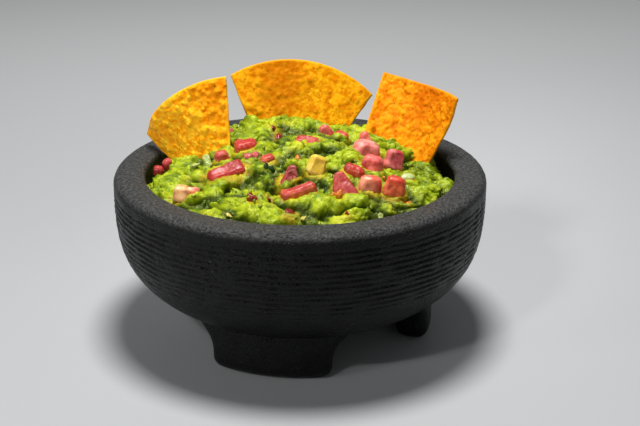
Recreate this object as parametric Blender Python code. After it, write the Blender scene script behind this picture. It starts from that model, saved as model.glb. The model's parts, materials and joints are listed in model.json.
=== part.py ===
"""Guacamole heaped in a three-footed stone bowl, with diced tomato and three corn chips.

The frame has +Z up and -Y to the front. Its origin is on the floor, under the middle of the bowl.
Sizes are named in millimetres and turned into metres when a mesh is made.
"""
import math

import bmesh
import bpy
from mathutils import Matrix, Vector, noise

MM = 0.001
GAP = 0.3                    # clearance between pieces that touch

# --- Stone bowl -------------------------------------------------------------
BOWL_RADIUS = 100.0
BOWL_HEIGHT = 91.2
RIM_OUTER_ROUND = 5.0
RIM_INNER_ROUND = 3.5
BELLY_DROP = 76.6            # from the widest ring down to where the belly's curve would close
BELLY_POWER = 3.5            # above 2, so the wall stays upright near the rim
BASE_HEIGHT = 13.0           # flat underside of the belly
CAVITY_RADIUS = 83.0
CAVITY_DEPTH = 62.0
CAVITY_POWER = 3.0
BOWL_SEGMENTS = 48
BELLY_RINGS = 8
BELLY_CROWDING = 1.15        # above 1, so rings lie closer where the curve turns
CAVITY_RINGS = 7
CAVITY_CROWDING = 1.2

FOOT_OUTER = 73.4
FOOT_INNER = 55.5
FOOT_TOP = 30.0              # buried in the belly
FOOT_SPAN = 55.0             # degrees of the ring that each foot takes
FOOT_ROUND = 6.2
FOOT_FLARE = 0.7             # widening of a foot's buried top over its sole
FOOT_FLARE_POWER = 2.5
FOOT_FLARE_START = 8.0
FOOT_CUTS_ALONG = 5
FOOT_CUTS_UP = 2
ROUND_STEPS = 3              # facets of a rounded rim or sole
FOOT_CENTRES = {"front": -13.2, "right": 94.5, "back": -147.5}   # degrees from the front

# --- Guacamole --------------------------------------------------------------
HEAP_PEAK = 104.4
HEAP_CENTRE_Y = 5.0
HEAP_DOME_X = 162.0          # radius of the dome from side to side
HEAP_DOME_Y = 200.0          # and from front to back
# Rolls and hollows that the spoon left: name, x, y, height, radius
SPOON_MARKS = (
    ("crest", -20.0, 42.0, 3.0, 14.0),
    ("left_dip", -52.0, -14.0, -1.6, 12.0),
    ("front_trough", -14.0, -50.0, -2.6, 9.0),
    ("front_roll", 6.0, -68.0, 1.2, 12.0),
    ("right_roll", 54.0, -44.0, 1.8, 12.0),
    ("chip_right_dip", 60.0, 0.0, -4.0, 10.0),
    ("chip_left_dip", -60.0, 10.0, -2.5, 12.0),
)
LUMP_LAYERS = ((19.0, 1.5), (8.0, 1.0))      # size and height of the lumps
HEAP_EDGE = 79.5
MOAT_WIDTH = 7.0             # how far the heap stands back from the wall, behind
MOAT_DEPTH = 11.0
SHOULDER_DROP = 1.5
MOAT_START = {"right": 79.0, "left": 80.0}   # degrees from the front where the heap leaves the wall
MOAT_BLEND = 14.0
HEAP_SEGMENTS = 58
HEAP_RINGS = 13
FACET_SHRINK = math.cos(math.pi / BOWL_SEGMENTS)   # keeps the heap inside the bowl's flat facets
SHOULDER_STEPS = ((0.3, 0.55), (0.62, 0.9), (1.0, 1.0))   # way to the wall, share of the drop

# --- Corn chips -------------------------------------------------------------
CHIP_THICKNESS = 1.9
CHIP_COLUMNS = 8
CHIP_ROWS = 8
CHIP_BEND_HEIGHT = 45.0      # the bend's axis crosses the chip this far above its lower end
# low: middle of the lower end; turn, lean and roll in degrees; bow: radius of the curl, minus bulges forward
CHIPS = {
    "chip_left": dict(low=(-36.2, -2.0, 69.6), turn=-26.0, lean=7.0, roll=37.5, bow=-56.0, bow_axis=-3.0,
                      top=67.0, bottom=3.0, height=61.8, crown=7.2),
    "chip_middle": dict(low=(-7.7, 27.7, 58.3), turn=2.7, lean=21.4, roll=-8.4, bow=-204.0, bow_axis=12.6,
                        top=82.9, bottom=3.6, height=69.7, crown=13.9),
    "chip_right": dict(low=(42.1, 12.0, 71.1), turn=-27.4, lean=34.6, roll=-12.2, bow=41.0, bow_axis=31.3,
                       top=57.1, bottom=30.6, height=65.6, crown=2.0),
}

# --- Diced toppings ---------------------------------------------------------
# x, y: place on the heap; lift: centre above the heap; size: length, depth, height;
# angles: tilt about x, tilt about y, turn; end, top: how far it narrows along its length and upwards
TOPPINGS = {
    "tomato_01": dict(x=-76.6, y=2.0, lift=2.4, size=(5.5, 5.5, 6.0),
                      angles=(8, 10, 12), end=0.9, top=0.9),
    "tomato_02": dict(x=-72.4, y=7.6, lift=3.6, size=(6.0, 5.5, 6.0),
                      angles=(0, -12, 52), end=0.9, top=0.9),
    "tomato_03": dict(x=-57.8, y=-42.0, lift=2.2, size=(13.2, 8.0, 8.2),
                      angles=(-10, 6, -8), end=0.85, top=0.95),
    "tomato_04": dict(x=-38.0, y=-30.5, lift=1.4, size=(21.0, 8.5, 7.0),
                      angles=(24, -15, 22), end=1.3, top=0.85),
    "tomato_05": dict(x=-29.0, y=-1.5, lift=1.8, size=(12.6, 9.0, 5.6),
                      angles=(14, -6, 14), end=0.8, top=0.85),
    "tomato_06": dict(x=-41.8, y=-6.5, lift=2.2, size=(8.2, 7.5, 6.4),
                      angles=(10, -12, 20), end=0.9, top=0.7),
    "tomato_07": dict(x=-16.9, y=-21.6, lift=1.2, size=(7.6, 6.6, 4.4),
                      angles=(12, -10, 16), end=0.9, top=0.9),
    "tomato_08": dict(x=3.6, y=0.0, lift=1.0, size=(14.2, 7.0, 4.4),
                      angles=(16, 8, -12), end=1.5, top=0.8),
    "tomato_09": dict(x=14.0, y=17.5, lift=2.2, size=(9.0, 7.0, 7.4),
                      angles=(6, -20, -10), end=0.8, top=0.5),
    "tomato_10": dict(x=22.4, y=13.0, lift=1.2, size=(8.2, 7.0, 5.2),
                      angles=(8, 16, -24), end=0.9, top=0.8),
    "tomato_11": dict(x=-4.6, y=-41.2, lift=2.8, size=(11.4, 7.0, 12.8),
                      angles=(-22, 10, -6), end=0.9, top=0.3),
    "tomato_12": dict(x=-0.6, y=-55.4, lift=2.0, size=(19.4, 6.4, 6.0),
                      angles=(10, -8, 27), end=0.85, top=0.9),
    "tomato_13": dict(x=21.4, y=-50.0, lift=2.4, size=(15.2, 6.0, 15.4),
                      angles=(-34, -13, 6), end=0.8, top=0.3),
    "tomato_14": dict(x=34.6, y=-11.0, lift=3.0, size=(14.6, 12.0, 12.0),
                      angles=(0, 8, 12), end=0.85, top=0.75),
    "tomato_15": dict(x=35.4, y=9.0, lift=3.4, size=(9.0, 7.0, 10.0),
                      angles=(0, -10, 0), end=0.8, top=0.4),
    "tomato_16": dict(x=37.6, y=-25.6, lift=2.6, size=(12.0, 9.0, 9.2),
                      angles=(0, 12, -14), end=0.9, top=0.75),
    "tomato_17": dict(x=49.8, y=-13.4, lift=5.0, size=(12.0, 6.0, 10.6),
                      angles=(-6, 14, 24), end=0.9, top=0.7),
    "tomato_18": dict(x=27.8, y=-33.6, lift=2.0, size=(12.4, 6.2, 6.0),
                      angles=(10, 10, -38), end=0.85, top=0.85),
    "tomato_19": dict(x=35.6, y=-45.0, lift=2.8, size=(11.4, 8.0, 8.6),
                      angles=(-4, 6, 8), end=0.9, top=0.85),
    "tomato_20": dict(x=48.2, y=-45.4, lift=2.8, size=(11.6, 9.0, 10.2),
                      angles=(-6, 12, -10), end=0.85, top=0.75),
    "tomato_yellow": dict(x=8.6, y=-35.2, lift=3.2, size=(9.0, 6.4, 10.4),
                          angles=(-14, 25, 8), end=0.9, top=0.9),
    "onion_01": dict(x=56.0, y=-27.2, lift=2.2, size=(7.6, 6.0, 4.4),
                     angles=(0, 6, 10), end=0.9, top=0.85),
}
TOPPING_ROUND = 1.3

# Colour (linear), roughness
FINISHES = {
    "stone": ((0.016, 0.016, 0.017), 0.62),
    "avocado": ((0.30, 0.40, 0.02), 0.30),
    "tomato": ((0.55, 0.07, 0.05), 0.22),
    "yellow_tomato": ((0.80, 0.55, 0.10), 0.25),
    "onion": ((0.70, 0.75, 0.45), 0.25),
    "chip": ((0.80, 0.30, 0.02), 0.55),
}


def clear_scene():
    for item in list(bpy.data.objects):
        bpy.data.objects.remove(item)


def finish(slot):
    """The named finish as a Principled material, made once."""
    found = bpy.data.materials.get(slot)
    if found:
        return found
    colour, roughness = FINISHES[slot]
    material = bpy.data.materials.new(slot)
    material.use_nodes = True
    shader = material.node_tree.nodes["Principled BSDF"]
    shader.inputs["Base Color"].default_value = (*colour, 1.0)
    shader.inputs["Roughness"].default_value = roughness
    shader.inputs["Metallic"].default_value = 0.0
    return material


def add_object(name, work, slot, sharp_angle=40.0):
    """Turns a bmesh in millimetres into an object in metres."""
    bmesh.ops.scale(work, vec=Vector((MM, MM, MM)), verts=work.verts)
    bmesh.ops.recalc_face_normals(work, faces=work.faces)
    mesh = bpy.data.meshes.new(name)
    work.to_mesh(mesh)
    work.free()
    mesh.shade_smooth()
    mesh.set_sharp_from_angle(angle=math.radians(sharp_angle))
    mesh.materials.append(finish(slot))
    item = bpy.data.objects.new(name, mesh)
    bpy.context.scene.collection.objects.link(item)
    return item


def as_cutter(item, collection):
    """Marks an object as a tool that only shapes another."""
    item.hide_render = True
    item.display_type = "WIRE"
    bpy.context.scene.collection.objects.unlink(item)
    collection.objects.link(item)


def new_collection(name):
    collection = bpy.data.collections.new(name)
    bpy.context.scene.collection.children.link(collection)
    return collection


def apply_boolean(item, collection, operation):
    """Adds or cuts a whole collection with the EXACT solver."""
    boolean = item.modifiers.new(operation.lower(), "BOOLEAN")
    boolean.operation = operation
    boolean.operand_type = "COLLECTION"
    boolean.collection = collection
    boolean.solver = "EXACT"
    return boolean


def loft(work, rings, closed_start=None, closed_end=None):
    """Joins rings of equally many points with quads. An end closes on one point, if one is given."""
    rows = [[work.verts.new(point) for point in ring] for ring in rings]
    count = len(rows[0])
    for lower, upper in zip(rows, rows[1:]):
        for i in range(count):
            j = (i + 1) % count
            work.faces.new((lower[i], lower[j], upper[j], upper[i]))
    for point, row in ((closed_start, rows[0]), (closed_end, rows[-1])):
        if point is None:
            continue
        tip = work.verts.new(point)
        for i in range(count):
            work.faces.new((row[i], row[(i + 1) % count], tip))
    return rows


# --- Bowl -------------------------------------------------------------------
def superellipse(radius, drop, power, top, angle):
    """A point of a bowl-shaped curve: angle 0 is its widest ring, 90 degrees its lowest point."""
    return radius * math.cos(angle), top - drop * math.sin(angle) ** (2.0 / power)


def quarter_round(centre_r, centre_z, round_r, start, end, steps):
    """Points of an arc in the turned profile, without its first point."""
    for step in range(1, steps + 1):
        angle = math.radians(start + (end - start) * step / steps)
        yield centre_r + round_r * math.cos(angle), centre_z + round_r * math.sin(angle)


def cavity_profile():
    """Radius and height of the cavity's wall, from the rim's rounding down to just above its floor."""
    top = BOWL_HEIGHT - RIM_INNER_ROUND
    turns = [math.radians(90.0) * (ring / CAVITY_RINGS) ** CAVITY_CROWDING for ring in range(CAVITY_RINGS)]
    return [superellipse(CAVITY_RADIUS, CAVITY_DEPTH, CAVITY_POWER, top, angle) for angle in turns]


def cavity_radius(height):
    """Inner radius of the bowl's facets at a height."""
    profile = cavity_profile()
    for (upper_r, upper_z), (lower_r, lower_z) in zip(profile, profile[1:]):
        if height >= lower_z:
            way = (height - lower_z) / (upper_z - lower_z)
            return lower_r + (upper_r - lower_r) * min(way, 1.0)
    return profile[-1][0]


def bowl_profile():
    """Radius and height, up the outside from the flat base and down into the cavity."""
    top = BOWL_HEIGHT - RIM_OUTER_ROUND
    base_angle = math.asin(((top - BASE_HEIGHT) / BELLY_DROP) ** (BELLY_POWER / 2.0))
    points = []
    for ring in range(BELLY_RINGS + 1):
        angle = base_angle * (1.0 - ring / BELLY_RINGS) ** BELLY_CROWDING
        points.append(superellipse(BOWL_RADIUS, BELLY_DROP, BELLY_POWER, top, angle))
    outer_centre = BOWL_RADIUS - RIM_OUTER_ROUND
    points += quarter_round(outer_centre, top, RIM_OUTER_ROUND, 0.0, 90.0, ROUND_STEPS)
    inner_centre = CAVITY_RADIUS + RIM_INNER_ROUND
    inner_top = BOWL_HEIGHT - RIM_INNER_ROUND
    points.append((inner_centre, BOWL_HEIGHT))
    points += quarter_round(inner_centre, inner_top, RIM_INNER_ROUND, 90.0, 180.0, ROUND_STEPS)
    points += cavity_profile()[1:]
    return points


def turned(work, profile, segments, start, end):
    rings = []
    for radius, height in profile:
        turn = [math.tau * i / segments for i in range(segments)]
        rings.append([(radius * math.cos(a), radius * math.sin(a), height) for a in turn])
    loft(work, rings, (0.0, 0.0, start), (0.0, 0.0, end))


def make_foot(name, centre):
    """One foot, a piece of a turned ring with a rounded sole, wider where it meets the belly."""
    work = bmesh.new()
    bmesh.ops.create_cube(work, size=1.0)
    middle = (FOOT_OUTER + FOOT_INNER) / 2.0
    length = middle * math.radians(FOOT_SPAN)
    size = Vector((length, FOOT_OUTER - FOOT_INNER, FOOT_TOP))
    bmesh.ops.scale(work, vec=size, verts=work.verts)
    bmesh.ops.translate(work, vec=(0.0, 0.0, FOOT_TOP / 2.0), verts=work.verts)
    along = [e for e in work.edges if abs(e.verts[0].co.x - e.verts[1].co.x) > length / 2.0]
    bmesh.ops.subdivide_edges(work, edges=along, cuts=FOOT_CUTS_ALONG, use_grid_fill=True)
    upright = [e for e in work.edges if abs(e.verts[0].co.z - e.verts[1].co.z) > FOOT_TOP / 2.0]
    bmesh.ops.subdivide_edges(work, edges=upright, cuts=FOOT_CUTS_UP, use_grid_fill=True)
    sharp = [e for e in work.edges if e.calc_face_angle(0.0) > 0.5]
    rounded = [e for e in sharp if min(v.co.z for v in e.verts) < FOOT_TOP - 0.1]
    bmesh.ops.bevel(work, geom=rounded, offset=FOOT_ROUND, segments=ROUND_STEPS, profile=0.5,
                    affect="EDGES")
    for vert in work.verts:
        rise = max(vert.co.z - FOOT_FLARE_START, 0.0) / (FOOT_TOP - FOOT_FLARE_START)
        flare = 1.0 + FOOT_FLARE * rise ** FOOT_FLARE_POWER
        angle = math.radians(centre) + vert.co.x * flare / middle
        radius = middle + vert.co.y
        vert.co.x = radius * math.sin(angle)
        vert.co.y = -radius * math.cos(angle)
    return add_object(name, work, "stone")


def make_bowl():
    work = bmesh.new()
    floor_of_cavity = BOWL_HEIGHT - RIM_INNER_ROUND - CAVITY_DEPTH
    turned(work, bowl_profile(), BOWL_SEGMENTS, BASE_HEIGHT, floor_of_cavity)
    bowl = add_object("bowl", work, "stone")
    feet = new_collection("feet")
    for side, centre in FOOT_CENTRES.items():
        as_cutter(make_foot("foot_" + side, centre), feet)
    apply_boolean(bowl, feet, "UNION")
    return bowl


# --- Guacamole --------------------------------------------------------------
def lumps(x, y):
    """Uneven mash, from two sizes of smooth noise."""
    return sum(height * noise.noise((x / size, y / size, size)) for size, height in LUMP_LAYERS)


def heap_height(x, y):
    """Top of the guacamole at a place in the bowl."""
    dome = HEAP_PEAK - x * x / (2.0 * HEAP_DOME_X) - (y - HEAP_CENTRE_Y) ** 2 / (2.0 * HEAP_DOME_Y)
    for _, mark_x, mark_y, height, radius in SPOON_MARKS:
        away = (x - mark_x) ** 2 + (y - mark_y) ** 2
        dome += height * math.exp(-away / (2.0 * radius * radius))
    return dome + lumps(x, y)


def moat(azimuth):
    """0 where the heap meets the wall, 1 where it stands back from it. Azimuth 0 is the front."""
    side = "right" if azimuth > 0.0 else "left"
    way = (abs(math.degrees(azimuth)) - MOAT_START[side]) / MOAT_BLEND
    way = min(max(way, 0.0), 1.0)
    return way * way * (3.0 - 2.0 * way)


def heap_point(azimuth, radius, drop=0.0):
    x, y = radius * math.sin(azimuth), -radius * math.cos(azimuth)
    return x, y, heap_height(x, y) - drop


def shoulder_point(azimuth, way, share):
    """A point between the heap's edge and the bowl's wall."""
    open_part = moat(azimuth)
    edge = HEAP_EDGE - MOAT_WIDTH * open_part
    drop = SHOULDER_DROP + MOAT_DEPTH * open_part
    x, y, top = heap_point(azimuth, edge)
    height = top - drop * share
    radius = edge + ((cavity_radius(height) - GAP) * FACET_SHRINK - edge) * way
    return radius * math.sin(azimuth), -radius * math.cos(azimuth), height


def make_guacamole():
    """Fills the cavity up to its uneven top, a gap away from the stone."""
    work = bmesh.new()
    turn = [-math.pi + math.tau * i / HEAP_SEGMENTS for i in range(HEAP_SEGMENTS)]
    rings = []
    for ring in range(1, HEAP_RINGS + 1):
        share = ring / HEAP_RINGS
        rings.append([heap_point(a, (HEAP_EDGE - MOAT_WIDTH * moat(a)) * share) for a in turn])
    for way, share in SHOULDER_STEPS:
        rings.append([shoulder_point(a, way, share) for a in turn])
    for wall_radius, height in cavity_profile()[1:]:
        radius = (wall_radius - GAP) * FACET_SHRINK
        rings.append([(radius * math.sin(a), -radius * math.cos(a), height + GAP) for a in turn])
    floor_height = BOWL_HEIGHT - RIM_INNER_ROUND - CAVITY_DEPTH + 2.0 * GAP
    peak = (0.0, 0.0, heap_height(0.0, 0.0))
    loft(work, rings, peak, (0.0, 0.0, floor_height))
    return add_object("guacamole", work, "avocado")


# --- Corn chips -------------------------------------------------------------
def chip_outline(chip, across, up, grow):
    """A flat place on the chip: across from -1 to 1, up from 0 at the lower end to 1 at the rim."""
    half_top = chip["top"] / 2.0 + grow
    half_bottom = chip["bottom"] / 2.0 + grow
    crown_radius = (half_top ** 2 + chip["crown"] ** 2) / (2.0 * chip["crown"])
    half = half_bottom + (half_top - half_bottom) * up
    x = across * half
    rim = math.sqrt(crown_radius ** 2 - (across * half_top) ** 2) - crown_radius + chip["crown"]
    y = -grow + (chip["height"] + rim + 2.0 * grow) * up
    return x, y


def bent(chip, x, y, off):
    """Wraps a flat place, and its distance off the chip's middle surface, round the bend."""
    axis = math.radians(chip["bow_axis"])
    along = x * math.cos(axis) + (y - CHIP_BEND_HEIGHT) * math.sin(axis)
    beside = -x * math.sin(axis) + (y - CHIP_BEND_HEIGHT) * math.cos(axis)
    angle = along / chip["bow"]
    reach = chip["bow"] - off
    wrapped = reach * math.sin(angle)
    forward = chip["bow"] - reach * math.cos(angle)
    return Vector((
        wrapped * math.cos(axis) - beside * math.sin(axis),
        wrapped * math.sin(axis) + beside * math.cos(axis) + CHIP_BEND_HEIGHT,
        forward,
    ))


def make_chip(name, chip, grow=0.0):
    """A fried wedge of corn tortilla, bent round one axis and stood on its point."""
    work = bmesh.new()
    sides = []
    for off in (-CHIP_THICKNESS / 2.0 - grow, CHIP_THICKNESS / 2.0 + grow):
        rows = []
        for row in range(CHIP_ROWS + 1):
            flat = [chip_outline(chip, 2.0 * c / CHIP_COLUMNS - 1.0, row / CHIP_ROWS, grow)
                    for c in range(CHIP_COLUMNS + 1)]
            rows.append([work.verts.new(bent(chip, x, y, off)) for x, y in flat])
        sides.append(rows)
        for lower, upper in zip(rows, rows[1:]):
            for c in range(CHIP_COLUMNS):
                work.faces.new((lower[c], lower[c + 1], upper[c + 1], upper[c]))
    borders = []
    for rows in sides:
        border = list(rows[0])
        border += [row[-1] for row in rows[1:]]
        border += rows[-1][-2::-1]
        border += [row[0] for row in rows[-2:0:-1]]
        borders.append(border)
    back, front = borders
    for i in range(len(back)):
        j = (i + 1) % len(back)
        work.faces.new((back[i], back[j], front[j], front[i]))
    item = add_object(name, work, "chip")
    upright = Matrix(((1, 0, 0), (0, 0, -1), (0, 1, 0)))
    turn = Matrix.Rotation(math.radians(chip["turn"]), 3, "Z")
    lean = Matrix.Rotation(-math.radians(chip["lean"]), 3, "X")
    roll = Matrix.Rotation(math.radians(chip["roll"]), 3, "Z")
    item.rotation_euler = (turn @ lean @ upright @ roll).to_euler()
    item.location = Vector(chip["low"]) * MM
    return item


# --- Toppings ---------------------------------------------------------------
def topping_slot(name):
    if name.startswith("onion"):
        return "onion"
    return "yellow_tomato" if name.endswith("yellow") else "tomato"


def make_topping(name, topping, slot, grow=0.0):
    """A cut die: a block that narrows along its length and upwards, with rounded edges."""
    work = bmesh.new()
    bmesh.ops.create_cube(work, size=1.0)
    length, depth, height = topping["size"]
    for vert in work.verts:
        narrow = 1.0 + (topping["end"] - 1.0) * (vert.co.x + 0.5)
        tip = 1.0 + (topping["top"] - 1.0) * (vert.co.z + 0.5)
        side = Vector((math.copysign(grow, vert.co.x), math.copysign(grow, vert.co.y),
                       math.copysign(grow, vert.co.z)))
        vert.co.x *= length * tip
        vert.co.y *= depth * narrow * tip
        vert.co.z *= height
        vert.co += side
    bmesh.ops.bevel(work, geom=list(work.edges), offset=TOPPING_ROUND, segments=1,
                    profile=0.5, affect="EDGES", clamp_overlap=True)
    item = add_object(name, work, slot)
    x, y = topping["x"], topping["y"]
    item.location = Vector((x, y, heap_height(x, y) + topping["lift"])) * MM
    item.rotation_euler = [math.radians(angle) for angle in topping["angles"]]
    return item


def main():
    clear_scene()
    make_bowl()
    guacamole = make_guacamole()
    hollows = new_collection("hollows")
    for name, chip in CHIPS.items():
        make_chip(name, chip)
        as_cutter(make_chip("hollow_" + name, chip, GAP), hollows)
    for name, topping in TOPPINGS.items():
        make_topping(name, topping, topping_slot(name))
        as_cutter(make_topping("hollow_" + name, topping, "avocado", GAP), hollows)
    apply_boolean(guacamole, hollows, "DIFFERENCE")


main()
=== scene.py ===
# %% [markdown]
# # Guacamole in a three-footed stone bowl
#
# The finished look is built on top of a fixed engineering model of the same dish. That model gives
# the true sizes: a 200 mm bowl turned from dark stone, a heap of mashed avocado that fills it,
# small cut pieces of tomato and onion lying on the heap, and three fried corn chips stood in its
# back edge. Each larger piece made here takes the place of one piece of that model, and small ones
# that the model leaves out, such as crumbs and flecks, are added.
#
# We start by loading the model and noting how large it is.

import json
import math

import bmesh
import bpy
import numpy as np
from mathutils import Matrix, Vector, noise
from mathutils.bvhtree import BVHTree

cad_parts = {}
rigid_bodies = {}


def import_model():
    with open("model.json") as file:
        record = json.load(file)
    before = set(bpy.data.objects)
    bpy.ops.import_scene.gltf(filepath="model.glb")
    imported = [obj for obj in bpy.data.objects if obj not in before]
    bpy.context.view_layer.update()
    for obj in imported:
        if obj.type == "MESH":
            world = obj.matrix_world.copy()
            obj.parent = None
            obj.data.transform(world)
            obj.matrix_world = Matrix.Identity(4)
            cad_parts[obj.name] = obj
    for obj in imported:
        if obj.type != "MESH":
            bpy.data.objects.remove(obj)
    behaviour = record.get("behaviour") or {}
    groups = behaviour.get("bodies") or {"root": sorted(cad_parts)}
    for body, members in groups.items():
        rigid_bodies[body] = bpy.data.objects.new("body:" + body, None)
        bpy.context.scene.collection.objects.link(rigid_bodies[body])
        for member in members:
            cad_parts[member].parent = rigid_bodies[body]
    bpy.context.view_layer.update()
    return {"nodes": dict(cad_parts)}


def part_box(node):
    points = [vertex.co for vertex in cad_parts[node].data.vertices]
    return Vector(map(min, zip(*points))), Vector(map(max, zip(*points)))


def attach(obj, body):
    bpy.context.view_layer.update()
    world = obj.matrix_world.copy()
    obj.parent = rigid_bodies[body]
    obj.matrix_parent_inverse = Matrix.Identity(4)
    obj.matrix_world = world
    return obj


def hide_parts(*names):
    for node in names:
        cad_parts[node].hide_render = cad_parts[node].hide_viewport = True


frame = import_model()
scene = bpy.context.scene
MM = 0.001
print("pieces in the model:", len(frame["nodes"]))

# %% [markdown]
# ## Camera
#
# A dish like this is looked at from a seat at the table: a long lens, about 21 degrees above the
# rim. The camera stands straight in front of the bowl. Turning it would show another side of the
# dish, so its picture is shifted a little to the side instead, which keeps the bowl as it is.

# %% Camera
CAMERA_TILT = 20.97          # degrees below the horizon
camera_data = bpy.data.cameras.new("camera")
camera_data.sensor_width = 36.0
camera_data.lens = 73.36
camera_data.shift_x = 0.03125
camera = bpy.data.objects.new("camera", camera_data)
camera.location = (0.0, -0.6659, 0.3198)
camera.rotation_euler = (math.radians(90.0 - CAMERA_TILT), 0.0, 0.0)
scene.collection.objects.link(camera)
scene.camera = camera
scene.view_settings.view_transform = "Standard"     # colours come out as they are mixed
print("camera looks down by", CAMERA_TILT, "degrees from", tuple(camera.location))

# %% [markdown]
# ## Small helpers for node trees
#
# Both shading and shape are described with node trees. These few functions add one node and wire
# it in a single line, so that a formula in the script still reads like a formula.

# %% Node helpers
def add_node(tree, kind, inputs=None, **settings):
    """One node with its settings. Inputs are values, or outputs of other nodes."""
    node = tree.nodes.new(kind)
    for key, value in settings.items():
        setattr(node, key, value)
    for key, value in (inputs or {}).items():
        if isinstance(value, bpy.types.NodeSocket):
            tree.links.new(value, node.inputs[key])
        else:
            node.inputs[key].default_value = value
    return node


def calc(tree, operation, *values):
    return add_node(tree, "ShaderNodeMath", dict(enumerate(values)), operation=operation).outputs[0]


def product(tree, first, *others):
    for other in others:
        first = calc(tree, "MULTIPLY", first, other)
    return first


def vector_calc(tree, operation, names):
    return add_node(tree, "ShaderNodeVectorMath", names, operation=operation).outputs[0]


def part_of(tree, vector, axis):
    return add_node(tree, "ShaderNodeSeparateXYZ", {0: vector}).outputs[axis]


def ease(tree, value, low, high, to_low=0.0, to_high=1.0):
    """Goes smoothly from to_low to to_high as value goes from low to high."""
    names = {"Value": value, "From Min": low, "From Max": high, "To Min": to_low, "To Max": to_high}
    return add_node(tree, "ShaderNodeMapRange", names, interpolation_type="SMOOTHSTEP").outputs[0]


def mixed(tree, share, first, second, mode="MIX"):
    """A colour between two colours."""
    names = {0: share, 6: first, 7: second}
    return add_node(tree, "ShaderNodeMix", names, data_type="RGBA", blend_type=mode).outputs[2]


def grain(tree, size, detail=2.0, place=None, warp=0.0):
    """Soft noise, 0 to 1, with features about size metres apart."""
    names = {"Scale": 1.0 / size, "Detail": detail, "Distortion": warp}
    if place is not None:
        names["Vector"] = place
    return add_node(tree, "ShaderNodeTexNoise", names).outputs[0]


def from_cells(tree, size, place):
    """Distance from the middle of the nearest of many scattered cells, about size metres apart."""
    names = {"Scale": 1.0 / size, "Vector": place}
    return add_node(tree, "ShaderNodeTexVoronoi", names, feature="F1").outputs["Distance"]


def rgb(red, green, blue):
    return (red, green, blue, 1.0)


print("node helpers are ready")

# %% Helpers for materials
def new_material(name, **values):
    """A Principled material. Returns it with its tree, its shader and a place in object space."""
    material = bpy.data.materials.new(name)
    material.use_nodes = True
    tree = material.node_tree
    shader = tree.nodes["Principled BSDF"]
    for key, value in values.items():
        shader.inputs[key.replace("_", " ")].default_value = value
    place = add_node(tree, "ShaderNodeTexCoord").outputs["Object"]
    return material, tree, shader, place


def attribute(tree, name, output="Fac"):
    return add_node(tree, "ShaderNodeAttribute", attribute_name=name).outputs[output]


def bump(tree, shader, height, depth, strength=1.0):
    """Relief too fine for the mesh. Depth is how far the height's 0 to 1 reaches, in metres."""
    names = {"Height": height, "Distance": depth, "Strength": strength}
    node = add_node(tree, "ShaderNodeBump", names)
    tree.links.new(node.outputs[0], shader.inputs["Normal"])


print("material helpers are ready")

# %% [markdown]
# ## Helpers for shapes
#
# Several shapes here are recipes: node trees that take a simple starting shape and a few named
# sizes. A recipe is run once, and its outcome is kept as a plain mesh, because plain meshes are
# what other programs can read. Numbers that a material needs later, such as how far a point was
# pushed out, are stored on the points by name.

# %% Helpers for recipes
SOCKETS = {float: "NodeSocketFloat", int: "NodeSocketInt", bpy.types.Object: "NodeSocketObject",
           bpy.types.Material: "NodeSocketMaterial"}


def new_recipe(name, **defaults):
    """A geometry tree with a named input for each default. Returns it and its inputs."""
    tree = bpy.data.node_groups.new(name, "GeometryNodeTree")
    tree.interface.new_socket("Geometry", in_out="INPUT", socket_type="NodeSocketGeometry")
    tree.interface.new_socket("Geometry", in_out="OUTPUT", socket_type="NodeSocketGeometry")
    for key, value in defaults.items():
        kind = value if isinstance(value, type) else type(value)
        socket = tree.interface.new_socket(key, in_out="INPUT", socket_type=SOCKETS[kind])
        if kind in (float, int):
            socket.default_value = value
    return tree, tree.nodes.new("NodeGroupInput").outputs


def stored(tree, name):
    """Reads a number that is kept on the points under a name."""
    return add_node(tree, "GeometryNodeInputNamedAttribute", {"Name": name}, data_type="FLOAT").outputs[0]


def store(tree, geometry, name, value, domain="POINT"):
    names = {"Geometry": geometry, "Name": name, "Value": value}
    return add_node(tree, "GeometryNodeStoreNamedAttribute", names, data_type="FLOAT",
                    domain=domain).outputs[0]


def push_out(tree, geometry, height):
    """Moves each point along its own normal."""
    normal = add_node(tree, "GeometryNodeInputNormal").outputs[0]
    offset = vector_calc(tree, "SCALE", {0: normal, "Scale": height})
    return add_node(tree, "GeometryNodeSetPosition", {"Geometry": geometry, "Offset": offset}).outputs[0]


def end_recipe(tree, geometry, material):
    """Makes any copies real and gives the whole shape its material."""
    real = add_node(tree, "GeometryNodeRealizeInstances", {"Geometry": geometry}).outputs[0]
    dressed = add_node(tree, "GeometryNodeSetMaterial", {"Geometry": real, "Material": material})
    tree.links.new(dressed.outputs[0], tree.nodes.new("NodeGroupOutput").inputs[0])


def follow(recipe, source, name, **values):
    """Runs a recipe on a source object and keeps the outcome as a plain mesh."""
    modifier = source.modifiers.new("recipe", "NODES")
    modifier.node_group = recipe
    sockets = {s.name: s.identifier for s in recipe.interface.items_tree if s.in_out == "INPUT"}
    for key, value in values.items():
        modifier[sockets[key]] = value
    mesh = plain_copy(source)
    mesh.name = name
    return add_object(name, mesh)


def plain_copy(source):
    """The source with its modifiers carried out, as a mesh."""
    graph = bpy.context.evaluated_depsgraph_get()
    graph.update()
    mesh = bpy.data.meshes.new_from_object(source.evaluated_get(graph), depsgraph=graph)
    bpy.data.objects.remove(source)
    return mesh


def add_object(name, content):
    item = bpy.data.objects.new(name, content)
    scene.collection.objects.link(item)
    return item


print("recipe helpers are ready")


# %% Helpers for meshes
def mesh_object(name, places, faces):
    mesh = bpy.data.meshes.new(name)
    mesh.from_pydata([tuple(p) for p in places], [], faces)
    return add_object(name, mesh)


def sheet_faces(columns, rows):
    """Squares between the points of a sheet that is laid out row by row."""
    return [(i, i + 1, i + columns + 1, i + columns)
            for r in range(rows - 1) for i in range(r * columns, (r + 1) * columns - 1)]


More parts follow.
